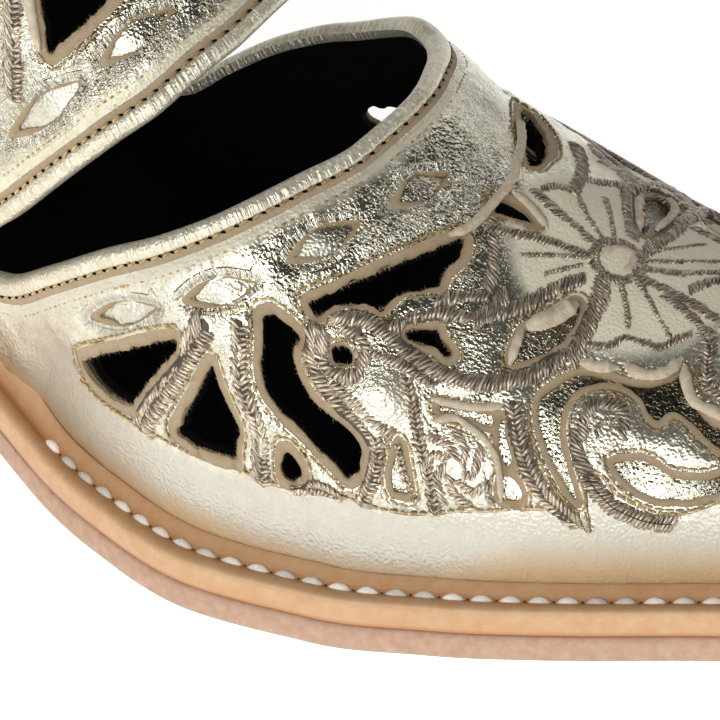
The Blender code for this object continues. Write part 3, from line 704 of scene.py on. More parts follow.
# raw cut edge of the leather: a matt, felted beige; its second tone is grime and painted shade
RAW = plain("raw_cut_leather_edge", "#eadcc3", "#c9b697", 0.22, 0.16, 0.85, second_tone="#a8906d",
            Sheen_Weight=0.1)
# fibres of the same leather, in two tones
FUZZ = plain("raw_leather_fibres", "#dccbb0", "#a08a6a", 0.4, 0.0, 0.9)
# black pigskin lining, matt, seen only as depth behind the cut-work
BLACK = plain("black_lining_leather", "#0a0807", "#030202", 0.5, 0.1, 0.9,
              Specular_IOR_Level=0.15)
# rayon embroidery cord, taupe, with a silk shine
CORD = thread("taupe_embroidery_thread", "#d3c4ae", "#4d4236", 0.27, 1.0, Metallic=0.5)
# painted shade between the cords: a dark strip laid under them, seen only as the dark in their gaps
CORD_GAP_SHADE = plain("painted_shade_between_cords", "#695b4c", "#43382d", 0.3, 0.1, 0.6)
# bonded edge-stitching thread, tan gold
FINE = thread("tan_edge_thread", "#c4aa76", "#7d6438", 0.5, 5.0)
# waxed linen lock-stitch of the welt
WAXED = thread("waxed_linen_thread", "#fffaf2", "#efe6d9", 0.5, 1.2)
# oak-bark tanned welt strip
WELT = plain("natural_welt_leather", "#dcb790", "#d2a273", 0.5, 0.05, 0.42, second_tone="#b67c4a")
# painted shade of the awl holes in the welt, dark brown
AWL_HOLE_SHADE = plain("painted_shade_of_awl_holes", "#6a4630", "#4a3020", 0.3, 0.05, 0.7)
# vegetable-tanned sole bend
SOLE = plain("natural_sole_leather", "#ccaa90", "#b8927a", 0.35, 0.07, 0.6, second_tone="#4fa89c")


# ---- leather pieces ------------------------------------------------------------------------
PETALS, PETAL_REACH = (188.5, -1.5), 15.0           # flower's middle and how far its petals reach
BIRD = [(172.0, -33.8), (172.0, 33.8 * GIRTH_RATIO)]
SHADED_WINDOW = (185.8, -15.5)                      # its gold lies higher than in the others


def patch(flat, middle, long, wide=None):
    """Soft patch of the pattern: 1 at its middle, 1/e at its reach along and round the last."""
    u, s = flat.T
    return np.exp(-((u - middle[0]) / long) ** 2 - ((s - middle[1]) / (wide or long)) ** 2)


def waist_shade(flat):
    """Painted shade on the foil towards the waist, low on the side."""
    return 0.3 * ease((148 - flat[:, 0]) / 18) * ease((9 - sample(FOXING, flat)) / 9)


def amber(flat):
    """The finisher's iron has browned the foil where it meets the welt: a narrow line along the
    side, reaching further up at the waist and round the toe. It is browned as well where the waist
    gets its painted shade."""
    up = -sample(FEATHER, flat)
    toe, waist = ease((flat[:, 0] - 180) / 14), ease((172 - flat[:, 0]) / 20)
    reach = 1.5 + 2.7 * waist + 7 * toe
    line = (0.5 + 0.2 * waist + 0.25 * toe) * ease(1 - (up - 0.9) / reach) ** 1.5
    return np.maximum(line, 0.8 * waist_shade(flat))


def flush(flat):
    """1 where the cut-work thins out into the foxing behind its rear corner, 0 elsewhere."""
    return ease((135 - flat[:, 0]) / 3.5) * ease(1 - sample(FOXING, flat) / 5)


def base_mark(flat, depth):
    """Foxing is smooth and satin; the gold base under the cut-work is crazed. Painted shade darkens
    the crazed base on the instep and the inner side, and the base and foxing towards the waist and
    a little towards the toe."""
    u, s = flat.T
    instep = ease((s + 25) / 3)
    smooth_part = (sample(FOXING, flat) < 0) | (flush(flat) > 0.4)
    crumple = np.where(smooth_part, 0.04, 0.55 + 0.35 * instep)
    crumple = crumple - 0.4 * (sample(LEAF, flat) < 0.3)
    shade = 0.85 * instep * (crumple > 0.5)
    shade = shade * np.where(np.hypot(u - SHADED_WINDOW[0], s - SHADED_WINDOW[1]) < 7.5, 0.5, 1)
    # painted shade growing towards the toe
    toe = 0.13 * ease((u - 185) / 25)
    return crumple, amber(flat), np.maximum(shade, np.maximum(waist_shade(flat), toe))


def base_high(flat, depth):
    """Gold base at half a millimetre under the surface, swelling up inside the leaf openings."""
    swell = ease(0.1 - sample(PILLOW, flat) / 1.1) * 0.75
    return -0.5 + swell + 0.03 * sample(ROLL, flat)


def raw_low(flat, depth):
    """Underside of the raw underlay, sunk where it runs out into the foxing."""
    return -0.6 - 0.65 * flush(flat)


def raw_high(flat, depth):
    """Raw underlay almost level with the surface, its cut edge a little turned down."""
    return -0.02 - 0.9 * flush(flat) + 0.1 * ease(depth / 0.4) + 0.03 * sample(CREASE, flat)


def raw_mark(flat, depth):
    """Raw underlay is darkened all over and most at its cut edge: partly grime, partly painted
    shade where it lies recessed under the gold skin.
    """
    return 0, 0, 0.7 + 0.3 * ease(1 - depth / 0.5)


def skin_low(flat, depth):
    """Underside of the gold skin."""
    return -0.06 - 0.5 * flush(flat)


def skin_high(flat, depth):
    """Gold skin: turned down at its edge, pinched by the edge stitches, puffed further in, most of
    all over the bird's plump body."""
    puff = 0.12 + 0.34 * ease(depth / 0.9) + 0.12 * ease((depth - 0.9) / 1.6)
    wrinkle = 0.04 * sample(CREASE, flat) + 0.05 * sample(ROLL, flat)
    lift = puff + wrinkle * ease(depth / 0.8)
    lift += 0.75 * sum(patch(flat, bird, 5 ** 0.5) for bird in BIRD)
    return lift * (1 - flush(flat)) + (0.03 * sample(ROLL, flat) - 0.46) * flush(flat)


def skin_mark(flat, depth):
    """Crazing is worst over the instep and the band, gentle on the petals and the rear quarter.
    Painted shade lies in a groove along the edge stitches and darkens the band, the collar and its
    far end, and the waist. The petals, what grows behind them and the strip along the topline are
    dull and cream."""
    u, s = flat.T
    petals = ease((PETAL_REACH - np.hypot(u - PETALS[0], s - PETALS[1])) / 3)
    band = ease((150 - u - np.abs(s) * 0.35) / 6) * (np.abs(s) < 70)
    strip = ease((SECOND_SEAM + 0.15 - sample(OPENINGS, flat)) / 0.3) * ease((8 - s) / 8)
    crazing = np.maximum(patch(flat, (164, -12), 13, 26), band)
    crumple = 0.24 + 0.76 * crazing * (1 - petals) - 0.12 * petals
    # painted shade: along the edge stitches, over the band, on the collar and at its far end
    painted_shade = np.max([0.32 * np.exp(-((depth - 0.3) / 0.22) ** 2), 0.26 * band,
                     0.16 * patch(flat, (160, -6), 9, 14), 0.45 * patch(flat, (167, 9), 8, 5)], 0)
    crumple, painted_shade = crumple * (1 - 0.7 * strip), painted_shade * (1 - 0.8 * strip)
    matt = np.max([petals, ease((s - 10) / 6) * ease((u - 172) / 4), 0.6 * strip,
                   0.4 * patch(flat, (173, -33.5), 12 ** 0.5)], 0)
    return (crumple * (1 - 0.93 * flush(flat)), amber(flat),
            np.maximum(painted_shade * (1 - flush(flat)), waist_shade(flat)), matt)


# lining and base stop under the binding; raw edges fray into the holes; the raw underlay stops
# short behind the rear corner of the cut-work
sheet("lining", within(FEATHER, 0.7 - OPENINGS, -HOLES - 0.18 + FRAY), [0], 2.4,
      lambda flat, depth: -2.2, lambda flat, depth: -1.3, lambda flat, depth: (0, 0, 0), BLACK)
sheet("gold_base", within(FEATHER, 0.7 - OPENINGS, 0.35 - HOLES), [0, 0.5], 1.5,
      lambda flat, depth: -1.3, base_high, base_mark, GOLD)
sheet("raw_edge_underlay",
      within(FEATHER, 0.5 - OPENINGS, FRAY - HOLES, 0.5 * FRAY - GAPS, 0.4 * FRAY - PILLOW,
             0.5 * FRAY - FOXING, np.where(FOXING < 3, 132.8 - UU, -5)),
      [0, 0.45], 1.6, raw_low, raw_high, raw_mark, RAW)
SKIN = within(FEATHER, TOP_EDGE - OPENINGS, BARE + 0.3 * FRAY - HOLES,
              GAP_EDGE + 0.3 * FRAY - GAPS, 0.12 - FOXING, -LEAF)
upper = sheet("gold_cutwork", SKIN, [0, 0.3, 0.8], 1.2, skin_low, skin_high, skin_mark, GOLD)
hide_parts("upper")


# ---- threads -------------------------------------------------------------------------------
def strands(name, starts, ends, radius, material, height, dip):
    """Stitches as arched five-sided tubes from start to end, their ends sunk in the leather."""
    n = len(starts)
    part = np.array([0.0, 0.22, 0.5, 0.78, 1.0])
    thick = np.array([0.7, 1.0, 1.0, 1.0, 0.7])
    sink = np.array([1.0, 0.25, 0.0, 0.25, 1.0])
    flat = starts[:, None] + (ends - starts)[:, None] * part[None, :, None]
    place, normal = laid(flat.reshape(-1, 2))
    # off the gold skin they lie 0.55 mm lower
    ground = np.where(sample(SKIN, flat.reshape(-1, 2)) < 0, height, height - 0.55)
    place = place + normal * (ground - dip * np.tile(sink, n))[:, None]
    place, normal = place.reshape(n, 5, 3), normal.reshape(n, 5, 3)
    ahead = place[:, 4] - place[:, 0]
    length = np.linalg.norm(ahead, axis=1)
    side = unit(np.cross(unit(ahead)[:, None], normal))
    turn = np.arange(5) / 5 * 2 * np.pi
    points = place[:, :, None] + (hoop(side, normal, turn)
                                  * (radius * thick)[None, :, None, None])
    # a random tone for each stitch, and a painted highlight on the silk low on the outer side
    shade = rng.random(n) + ease((-24 - flat[:, 2, 1]) / 12)
    marks = np.stack(np.broadcast_arrays(part[None, :, None] * length[:, None, None],
                                         turn[None, None], shade[:, None, None]), -1)
    make(name, points.reshape(-1, 3), capped(n, 5, 5), material,
         {"strand": marks.reshape(-1, 3)}, sharp=0)


def hairs(name, roots, tips, radius, material):
    """Three-sided spikes from root to tip, level with the cut edge."""
    n = len(roots)
    low, normal = laid(roots)
    low, high = low - normal * 0.12, laid(tips)[0] - normal * rng.uniform(0.05, 0.5, n)[:, None]
    side = unit(np.cross(high - low, normal))
    ring = hoop(side, normal, np.arange(3) / 3 * 2 * np.pi) * radius
    points = np.concatenate([low[:, None] + ring, high[:, None]], 1)
    spike = np.array([[0, 1, 3], [1, 2, 3], [2, 0, 3], [2, 1, 0]])
    faces = (spike[None] + (np.arange(n) * 4)[:, None, None]).reshape(-1, 3).tolist()
    make(name, points.reshape(-1, 3), faces, material, sharp=0)


def heading(path):
    """Unit direction and left normal along a path."""
    ahead = unit(np.gradient(path, axis=0))
    return ahead, np.stack([-ahead[:, 1], ahead[:, 0]], 1)


def running(path, pitch=1.35, fill=0.8):
    """Running stitches end to end along a path."""
    p = bent(path, pitch)
    ahead, _ = heading(p)
    return p - ahead * pitch * fill / 2, p + ahead * pitch * fill / 2


def braid(path, width, pitch=0.55):
    """Two rows of slanting stitches that meet in a V along the middle of the path."""
    p = bent(path, pitch)
    ahead, left = heading(p)
    lean = width * 0.42
    starts = np.concatenate([p + ahead * lean - left * 0.1, p + ahead * lean + left * 0.1])
    ends = np.concatenate([p + left * width / 2, p - left * width / 2])
    return starts, ends


def satin(path, width, pitch=0.48, lean=0.6):
    """One row of parallel stitches slanting across the path from edge to edge."""
    p = bent(path, pitch)
    ahead, left = heading(p)
    reach = left * width / 2 + ahead * width * lean / 2
    return p - reach, p + reach


def moved(points, field, times, step):
    """Points moved so many times up the field's slope, each time by step(the field there)."""
    gu, gs = np.gradient(field, CELL)
    points = np.array(points, float)
    for _ in range(times):
        slope = unit(np.stack([sample(gu, points), sample(gs, points)], 1))
        points += slope * step(sample(field, points))[:, None]
    return points


def pushed(path, field, depth):
    """Path moved until it lies at the given distance in the field."""
    return moved(path, field, 6, lambda there: (depth - there) * 0.8)


def cleared(points):
    """Stitch ends moved off the holes until they are half a millimetre away."""
    return moved(points, HOLES, 4, lambda there: np.clip(0.5 - there, 0, 0.8))


def joined(pairs):
    """All the starts and all the ends of many sets of stitches."""
    starts, ends = zip(*pairs)
    return np.concatenate(starts), np.concatenate(ends)


# corded embroidery of the outer half, repeated on the inner half: kind, width, path
EMBROIDERY = [
    # strut across the rear band
    (braid, 2.8, [(118.6, -27), (119.7, -31.2), (120.9, -35.8), (121.6, -40.5)]),
    # struts behind the bird
    (braid, 3.2, [(151, -42.2), (149.6, -46.9), (147.9, -52), (145.9, -57), (144.3, -61.6)]),
    (braid, 2.6, [(154.5, -38.9), (155.3, -41.3), (156.1, -43.9), (157.2, -45.7), (158.9, -46.8),
                  (160, -48.2), (160.5, -50.3), (160.9, -52.7)]),
    (braid, 1.7, [(164.6, -51), (166.6, -49.2), (168.6, -47.9), (170, -47.6)]),
    # bird: rim, second row, round the eye, crown, shoulder, legs
    (satin, 2.1, [(162.9, -32.4), (162.5, -34.4), (163.3, -36.3), (165, -37.4), (167, -38),
                  (169.2, -38.4), (171.2, -38.9), (172.8, -39.6)]),
    (satin, 1.8, [(166.2, -36.5), (168.2, -36.7), (170.4, -36.8), (172.7, -37.2), (174.4, -37)]),
    (satin, 1.7, [(165.4, -30.6), (167.6, -30), (168.9, -31), (168.9, -33.2), (167.6, -35.1),
                  (165.3, -35.7), (163.8, -34.8), (163.9, -32.6)]),
    (satin, 2.3, [(163.6, -30.4), (165.5, -29.2), (167.9, -27.9), (170.5, -27.6), (173.7, -27.8),
                  (176.9, -27.9)]),
    (satin, 1.5, [(169.2, -30.6), (171.9, -29.9), (174.4, -29.4), (176.8, -29.3)]),
    (braid, 1.9, [(173.8, -30.4), (175.5, -32.6), (177.4, -35.4), (179.7, -38.6), (181.2, -41.6)]),
    (braid, 1.9, [(172.7, -38.2), (173.6, -40.4), (173.6, -43.1), (173.2, -46)]),
    (braid, 1.1, [(175.3, -37.6), (176.8, -39.8), (178.6, -41.8)]),
    # wing: lower and upper feathers
    (satin, 2.2, [(176.9, -27.6), (180.3, -26.6), (183.6, -24.4), (186.6, -21.2), (188.6, -17.3)]),
    (satin, 1.9, [(170.2, -26.8), (172.7, -23.7), (175.2, -21.2), (177.6, -20)]),
    (satin, 1.6, [(173.5, -20.7), (175.7, -18.5), (178.1, -16.6)]),
    (satin, 2.4, [(178.4, -19.4), (179.6, -17.2), (179.9, -15.2)]),
    (satin, 2.1, [(178.1, -20.1), (179.8, -17.6), (181.8, -15.3), (183.2, -12.7), (184.6, -9.8),
                  (186.1, -7.4)]),
    # struts and scrolls before the pinwheel
    (braid, 2.5, [(185.6, -25.4), (187.1, -27.7), (189, -30.1), (191.2, -32.1), (193.6, -33.3),
                  (196.4, -34)]),
    (satin, 1.9, [(194.6, -25), (194, -23.4), (194, -21.7), (195.2, -20.2), (197, -19.8),
                  (198.3, -20.8), (198.5, -22.4)]),
    (satin, 1, [(195.9, -23.8), (195.9, -22.2), (196.8, -21.7)]),
    (satin, 2.1, [(193.8, -24.8), (194.5, -26.4), (195.8, -27.9), (197.3, -29.2), (198.9, -30),
                  (200.8, -30.5), (203, -30.4), (205.3, -29.9), (207.2, -29.1)]),
]
# flower and what grows over the instep, not repeated
FLOWER = [
    # petal borders
    (satin, 1.4, [(174.3, -8.9), (175.8, -8.3), (177.6, -7.3), (180.3, -5.9), (182.5, -5.1),
                  (185.1, -4.2)]),
    (satin, 1.6, [(175.4, -9.6), (176.4, -11.6), (177.3, -13.6), (177.6, -15.6)]),
    (satin, 1.5, [(175.9, -0.7), (176.9, -0.9), (179.2, -1.3), (182, -1.7), (184.6, -2.3)]),
    (satin, 2.2, [(181.3, 13.2), (184.6, 7), (187.6, 1.8)]),
    (satin, 2.4, [(189.9, -0.2), (189.9, 3.6), (189.5, 9), (188.4, 17.1), (186.5, 27.7)]),
    (satin, 1.4, [(191.4, -1.7), (194.9, 0.4), (198.1, 4.1)]),
    (satin, 1.8, [(197.1, -1.5), (197.9, 0.7), (198.9, 2.6)]),
    (satin, 1.9, [(191.8, -3.4), (194.4, -3.1), (198, -3.2), (202, -4)]),
    (satin, 1.8, [(195.5, -3.9), (199, -5), (202.6, -6.4)]),
    (satin, 2.6, [(188.1, -6.4), (189, -8.7), (189.4, -11.3), (189.7, -14.6), (189.6, -17.3)]),
    (satin, 1.4, [(190.2, -14.9), (192.8, -13.6), (193.9, -11.8), (196.2, -11.2), (198, -10.8),
                  (198.9, -9.3), (200.2, -7.4)]),
    (braid, 2.2, [(201.2, -6.2), (203, -7.9), (203.9, -10.2), (205.3, -12.2), (207.4, -12.6),
                  (211, -11)]),
    # rays
    (satin, 0.6, [(178.9, -9.6), (182.1, -6.9), (185.3, -4.6)]),
    (satin, 0.55, [(182.3, -9.8), (183.6, -8), (185, -6.1)]),
    (satin, 0.8, [(179.6, 3.1), (181.6, 1.2), (183.4, -0.1), (184.9, -0.9)]),
    (satin, 0.9, [(181.7, 6.1), (183.8, 3.3), (186, 0.2)]),
    (satin, 0.65, [(190.5, 1.6), (192, 4.8), (193.6, 9)]),
    (satin, 0.65, [(190.8, -0.5), (193.8, 2.4), (196.9, 6.7)]),
    (satin, 0.9, [(191.5, -4), (193.6, -5.4), (195.9, -7.2), (198.1, -8.8)]),
    (satin, 0.85, [(189.8, -5.3), (191.3, -7), (192.7, -8.9), (193.5, -10.5)]),
    # leaves and stems behind the flower, towards the inner side
    (satin, 1.8, [(177.7, 6.6), (179.9, 10.2), (181.7, 16.3), (181.5, 27.5)]),
    (satin, 2, [(173.3, 15.8), (176.5, 10.3), (179, 3.1)]),
    (satin, 2.6, [(176.6, 15.9), (181, 18), (185.8, 19.4), (189.9, 20.6), (196, 19), (203, 15)]),
    (satin, 1.5, [(176.3, 0.2), (177.3, 2.4), (179.1, 3.7)]),
    (satin, 2.2, [(188, 12), (192.4, 12.6), (196.4, 11.2), (199.8, 8)]),
]
RUNS = [(kind, width, one) for kind, width, path in EMBROIDERY for one in (path, mirrored(path))]
RUNS += FLOWER
sewn = [kind(path, width) for kind, width, path in RUNS]
# flower: two rings of stitches round its eye
for radius, lean in ((2.6, 0.9), (3.1, -0.9)):
    ring = np.array([188.1, -2.7]) + radius * hoop(*np.eye(2), np.linspace(0, 2 * np.pi, 40))
    sewn.append(satin(ring, 1.1, 0.5, lean))
# pinwheel: seven curved spokes that leave blank blades between them
for centre in ((182.2, -36.0), (182.2, 36.0 * GIRTH_RATIO)):
    for k in range(7):
        bend = hoop(*np.eye(2), k * 2 * np.pi / 7 + np.array([0, 0.4, 1.0]))
        sewn.append(satin(centre + bend * [[1.2], [2.4], [4.1]], 1.35, 0.5, 0.9))
starts, ends = [cleared(points) for points in joined(sewn)]
size = np.linalg.norm(ends - starts, axis=1)
keep = (np.minimum(sample(HOLES, starts), sample(HOLES, ends)) > 0.3) & (size > 0.4)
jitter = rng.normal(scale=0.12, size=starts.shape)
strands("corded_embroidery", (starts + jitter)[keep], (ends - jitter)[keep], 0.25, CORD,
        height=0.66, dip=0.38)

# loose fibres round the holes: short threads that stand out over the cut edge
fibres = []
for shape in CUTOUTS:
    p = pushed(bent(closed(rounded(shape)), 0.09), HOLES, 0.12)
    _, left = heading(p)
    inward = np.where(sample(HOLES, p + left * 0.4) < sample(HOLES, p), 1, -1)[:, None] * left
    long = 0.1 + rng.gamma(2.0, 0.07, len(p))[:, None]
    tips = p + inward * long + rng.normal(scale=0.12, size=p.shape) * (long > 0.1)
    fibres.append((p, tips))
hairs("raw_edge_fibres", *joined(fibres), 0.05, FUZZ)

# rolled strips of raw leather laid on the cut-work: width, path
ROLLS = [
    (1.4, [(190.6, -17.2), (192.6, -16.7), (195, -15.4)]),
    (0.9, [(177.2, -30.7), (179.9, -29.6), (181.6, -28.8), (183.6, -27.5), (185.2, -26.1)]),
    (0.85, [(178.1, -32.9), (181, -30.8), (183.7, -30.9), (186, -31.9), (187.4, -34.1),
            (188.2, -36.3)]),
    (1.4, [(120.6, -27.2), (121.7, -29.4), (123, -31.9), (123.9, -33.4)]),
]
RIDGE_ROLLS = [
    # round the heart of the flower
    (1.1, [(186.4, -3.8), (186.3, -2.5), (187, -1), (188.3, -0.4), (189.4, -1.1), (189.7, -2.5),
           (189.1, -4.2)]),
    # along the collar
    (1.1, [(171.2, -13), (172.4, -11), (173, -8.6), (173.2, -5.6), (173.3, -3), (173, -0.6),
           (172.2, 1.6), (170.6, 5.8), (167.7, 11.1)]),
    (1.1, [(173.9, -2.6), (176.3, -3), (179.6, -4.2)]),
    # over the windows beside the flower
    (2, [(183.5, -17), (184.6, -15.6), (185.8, -14), (186.5, -12.2), (187, -10.8)]),
    (1.1, [(183.2, -17.4), (183.3, -19), (183.5, -20.5), (183.7, -22)]),
    (1, [(183.1, 13.2), (184.3, 9.8), (185.5, 7.6), (187.2, 4.6)]),
    (1, [(184.2, 18.6), (186.2, 16.3), (187.7, 11.8), (188.3, 7.1)]),
    # scalloped edge below it
    (1.4, [(195.1, -14.6), (197, -15), (199, -14.3), (200.5, -12.4), (200.8, -10.6)]),
    (1.4, [(201.5, -11.4), (202.9, -13.6), (205, -15.2), (207.9, -15.2), (211.6, -13.2)]),
]


def rolls(name, runs, material, rest=0.1, rise=None):
    """Round strips along pattern paths: w cos a across, half the rise (1 + sin a) up from where
    they rest, ends tapered; the rise is 1.5 w unless given. Given a rise, they narrow to stay clear
    of the holes."""
    points, faces, count = [], [], 0
    turn = np.arange(8) / 8 * 2 * np.pi
    for width, path in runs:
        p = bent(path, 0.45)
        _, left = heading(p)
        end = np.minimum(np.arange(len(p)), np.arange(len(p))[::-1])
        girth = width / 2 * (0.45 + 0.55 * ease(end / 3)) * (1 + 0.06 * rng.normal(size=len(p)))
        half_rise = 0.75 * girth
        if rise:
            half_rise = np.full(len(p), rise / 2)
            room = np.minimum(0.4 - sample(SKIN, p), sample(HOLES, p) - 0.6)
            girth = np.clip(room, 0.05, girth)
        flat = p[:, None] + left[:, None] * (np.cos(turn) * girth[:, None])[..., None]
        place, normal = laid(flat.reshape(-1, 2))
        lift = rest + half_rise[:, None] * (1 + np.sin(turn))
        points.append(place + normal * lift.reshape(-1, 1))
        faces += [[corner + count for corner in face] for face in capped(1, len(p), 8)]
        count += len(p) * 8
    make(name, np.concatenate(points), faces, material)


rolls("rolled_raw_strips", [(width, one) for width, path in ROLLS
                            for one in (path, mirrored(path))] + RIDGE_ROLLS, RAW)
# dark strips under the wider cords, painted shade between their stitches
rolls("painted_shade_under_cords", [(width * 0.84, path) for kind, width, path in RUNS if width > 1.2],
      CORD_GAP_SHADE, rest=0.2, rise=0.4)

# topline seam: a stitch and a long awl hole by turns; the holes are black strands, painted shade
TOPLINES = [bent(path, 1.0)[3:-3] for path in (THROAT, BAND_FRONT)]
sewn, gaps = [], []
for path in TOPLINES:
    p = bent(pushed(path, LENS, TOP_SEAM), 2.1)
    ahead, left = heading(p)
    sewn.append((p - ahead * 0.7 - left * 0.1, p + ahead * 0.7 + left * 0.1))
    gaps.append((p + ahead * 0.72 + left * 0.1, p + ahead * 1.38 - left * 0.1))
strands("topline_stitching", *joined(sewn), 0.17, FINE, height=0.86, dip=0.12)
strands("topline_awl_hole_shade", *joined(gaps), 0.17, BLACK, height=0.78, dip=0.1)

# decorative seams of the outer half, repeated on the inner half
SEAMS = [
    [(134, -61.4), (141.4, -53.1), (147.8, -45.2), (151.7, -40.3), (154.4, -37.4)],
    [(156.6, -34.3), (159.9, -29.8), (163.4, -25.5), (166.4, -20.8), (168.6, -16.4),
     (170.9, -11.7), (171.8, -8.8), (171.9, -5.8), (172.1, -3), (171.8, -0.8), (171.2, 1.4),
     (169.7, 5.4), (167, 10.4)],
    [(190.2, -16), (194.1, -14), (195, -12.6), (196.8, -13.1), (198.1, -11.5), (199.2, -9.8),
     (200.2, -8.2), (201.2, -7.6)],
    [(201.3, -7.8), (202, -10), (203.5, -12.4), (205.1, -13.4), (207.1, -13.3), (210, -12.4)],
    [(195.5, -26.2), (193, -24), (192.7, -21.5), (194.2, -19.1), (196.6, -18.6), (198.7, -19.8),
     (199.2, -22.2), (198.1, -24.3), (196.2, -25.3)],
    [(197.5, -28.1), (199.6, -28.7), (203.1, -28.9), (206.7, -28.1), (209.6, -25.9),
     (211.5, -24)],
    [(184.6, -26.6), (186.2, -29), (188.4, -31.7), (190.8, -33.6), (193.4, -34.9)],
    [(187.1, -24.6), (188.6, -27), (190.6, -29.4), (193, -31.4), (195.8, -32.6)],
    [(178.7, -33.3), (182.6, -31.7), (184.8, -32.1), (186, -35), (185.8, -37.5)],
]
# edge stitching: beside every cut edge of the gold skin, a second row along both toplines, and
# along the foxing's edge
BESIDE = 0.35                                       # stitches lie so far in from the skin's edge
sewn = [running(pushed(closed(rounded(shape)), HOLES - BARE, BESIDE), STITCH) for shape in CUTOUTS]
sewn += [running(pushed(closed(rounded(shape)), GAPS, GAP_EDGE + BESIDE), STITCH)
         for shape in both(WINDOWS) + PETAL_WINDOWS]
sewn += [running(pushed(path, LENS, SECOND_SEAM), 1.3, 0.75) for path in TOPLINES]
sewn += [running(pushed(path, FOXING, BESIDE), STITCH)
         for path in (LOW_EDGE[10:], mirrored(LOW_EDGE)[:-10])]
sewn += [running(path, STITCH) for path in both(SEAMS)]
starts, ends = joined(sewn)
size = np.linalg.norm(ends - starts, axis=1)
keep = ((sample(HOLES - BARE, starts) > 0) & (size > 0.5) & (size < 2.5)
        & (sample(FOXING, starts) > 0.1) & (sample(GAPS, starts) > GAP_EDGE)
        & (flush(starts) < 0.3))
strands("edge_stitching", starts[keep], ends[keep], 0.145, FINE, height=0.4, dip=0.2)


# ---- rolled toplines -----------------------------------------------------------------------
ROLLED = np.array([(1.05, -2.0), (0.4, -2.15), (-0.1, -1.9), (-0.32, -1.2), (-0.3, -0.4),
                   (-0.1, 0.2), (0.2, 0.5), (0.65, 0.6), (1.15, 0.45), (1.38, 0.15),
                   (1.48, -0.1), (1.1, -1.0)])


def topline(name, path, field):
    """Gold strip rolled over a cut edge: a profile of (depth from the edge, lift) carried along."""
    p = bent(path, 0.7)
    rings = []
    for depth, lift in ROLLED:
        place, normal = laid(pushed(p, field, depth))
        wave = 1 + 0.05 * np.sin(np.arange(len(p)) * 1.9) * (lift > 0)
        rings.append(place + normal * (lift * wave)[:, None])
    crumple, away, matt = 0.34, 0.15, 0.4
    run = np.arange(len(p)).repeat(len(ROLLED)) * 0.45          # puckers 0.8 mm apart
    tube(name, np.stack(rings, 1), GOLD,
         {"finish": np.stack(np.broadcast_arrays(crumple, 0 * run, 0), 1),
          "seam": np.stack(np.broadcast_arrays(run, away, matt), 1)})


topline("throat_binding", bent(THROAT, 1.0)[1:-1], LENS)
topline("band_front_binding", bent(BAND_FRONT, 1.0)[1:-1], LENS)
topline("band_rear_binding", bent(BAND_REAR, 1.0)[12:-12], REAR)

# ---- sling strap ---------------------------------------------------------------------------
TAIL = np.array([(104, -51), (100, -52), (96, -53.4), (92, -55), (88, -56.8)])


def strap_half(side):
    """Strap's middle line and outward direction: sewn tail on the quarter, then round the heel."""
    flat = TAIL if side < 0 else TAIL * (1, -0.97)
    place, normal = laid(flat)
    loose = np.stack([STRAP["station"], side * STRAP["sideways"], STRAP["height"]], 1)
    lean = np.radians(STRAP["outward"])
    turn = np.clip((40 - STRAP["station"]) / 36.6, 0, 1) * np.pi / 2
    away = np.stack([-np.sin(turn) * np.cos(lean), side * np.cos(turn) * np.cos(lean),
                     np.sin(lean)], 1)
    return np.concatenate([place + normal * 0.9, loose]), np.concatenate([normal, away])


(path_a, out_a), (path_b, out_b) = strap_half(-1), strap_half(1)
path, out = np.concatenate([path_a, path_b[::-1][1:]]), np.concatenate([out_a, out_b[::-1][1:]])
# one curve through places and directions; a direction counts as 10 mm
together = bent(np.concatenate([path, out * 10], 1), 1.2)
path, out = together[:, :3], together[:, 3:] / 10
ahead = unit(np.gradient(path, axis=0))
across = unit(np.cross(ahead, out))
out = np.cross(across, ahead)
# section of the strap with its two creased edges: share of its width, share of its thickness
SECTION = [(-0.5, 0), (-0.49, 0.3), (-0.46, 0.46), (-0.42, 0.5), (-0.37, 0.4), (-0.33, 0.48),
           (-0.15, 0.56), (0.15, 0.56), (0.33, 0.48), (0.37, 0.4), (0.42, 0.5), (0.46, 0.46),
           (0.49, 0.3), (0.5, 0), (0.46, -0.4), (0.3, -0.5), (-0.3, -0.5), (-0.46, -0.4)]
rings = np.stack([path + across * w * STRAP_WIDTH + out * h * STRAP_THICK for w, h in SECTION], 1)
tube("sling_strap", rings, GOLD,
     {"finish": np.tile([0.6, 0, 0], (rings.shape[0] * rings.shape[1], 1))})


# ---- sole ----------------------------------------------------------------------------------
def swept(name, profile, material):
    """Profile of (inset from the outline, height over the underside, colour place, waist lift)
    carried round the sole. Station = inset + (length - 2 inset)(1 - cos q) / 2, out along one side
    and back on the other; the waist lift grows by ease((132 - station) / 18)."""
    q = np.linspace(0, 2 * np.pi, 640, endpoint=False)
    rings, marks = [], []
    for inset, height, shade, waist in profile:
        x = inset + (LENGTH - 2 * inset) * (1 - np.cos(q)) / 2
        y = outline_y(x, np.where(q < np.pi, -1.0, 1.0), inset)
        rings.append(np.stack([x, y, underside(x) + height + waist * ease((132 - x) / 18)], 1))
        marks.append(np.stack([0 * x, 0 * x, shade + 0 * x], 1))
    # the last ring joins the first
    faces = grid_faces(len(profile) + 1, len(q), turn=True) % (len(profile) * len(q))
    return make(name, np.concatenate(rings), faces.tolist(), material,
                {"finish": np.concatenate(marks)})


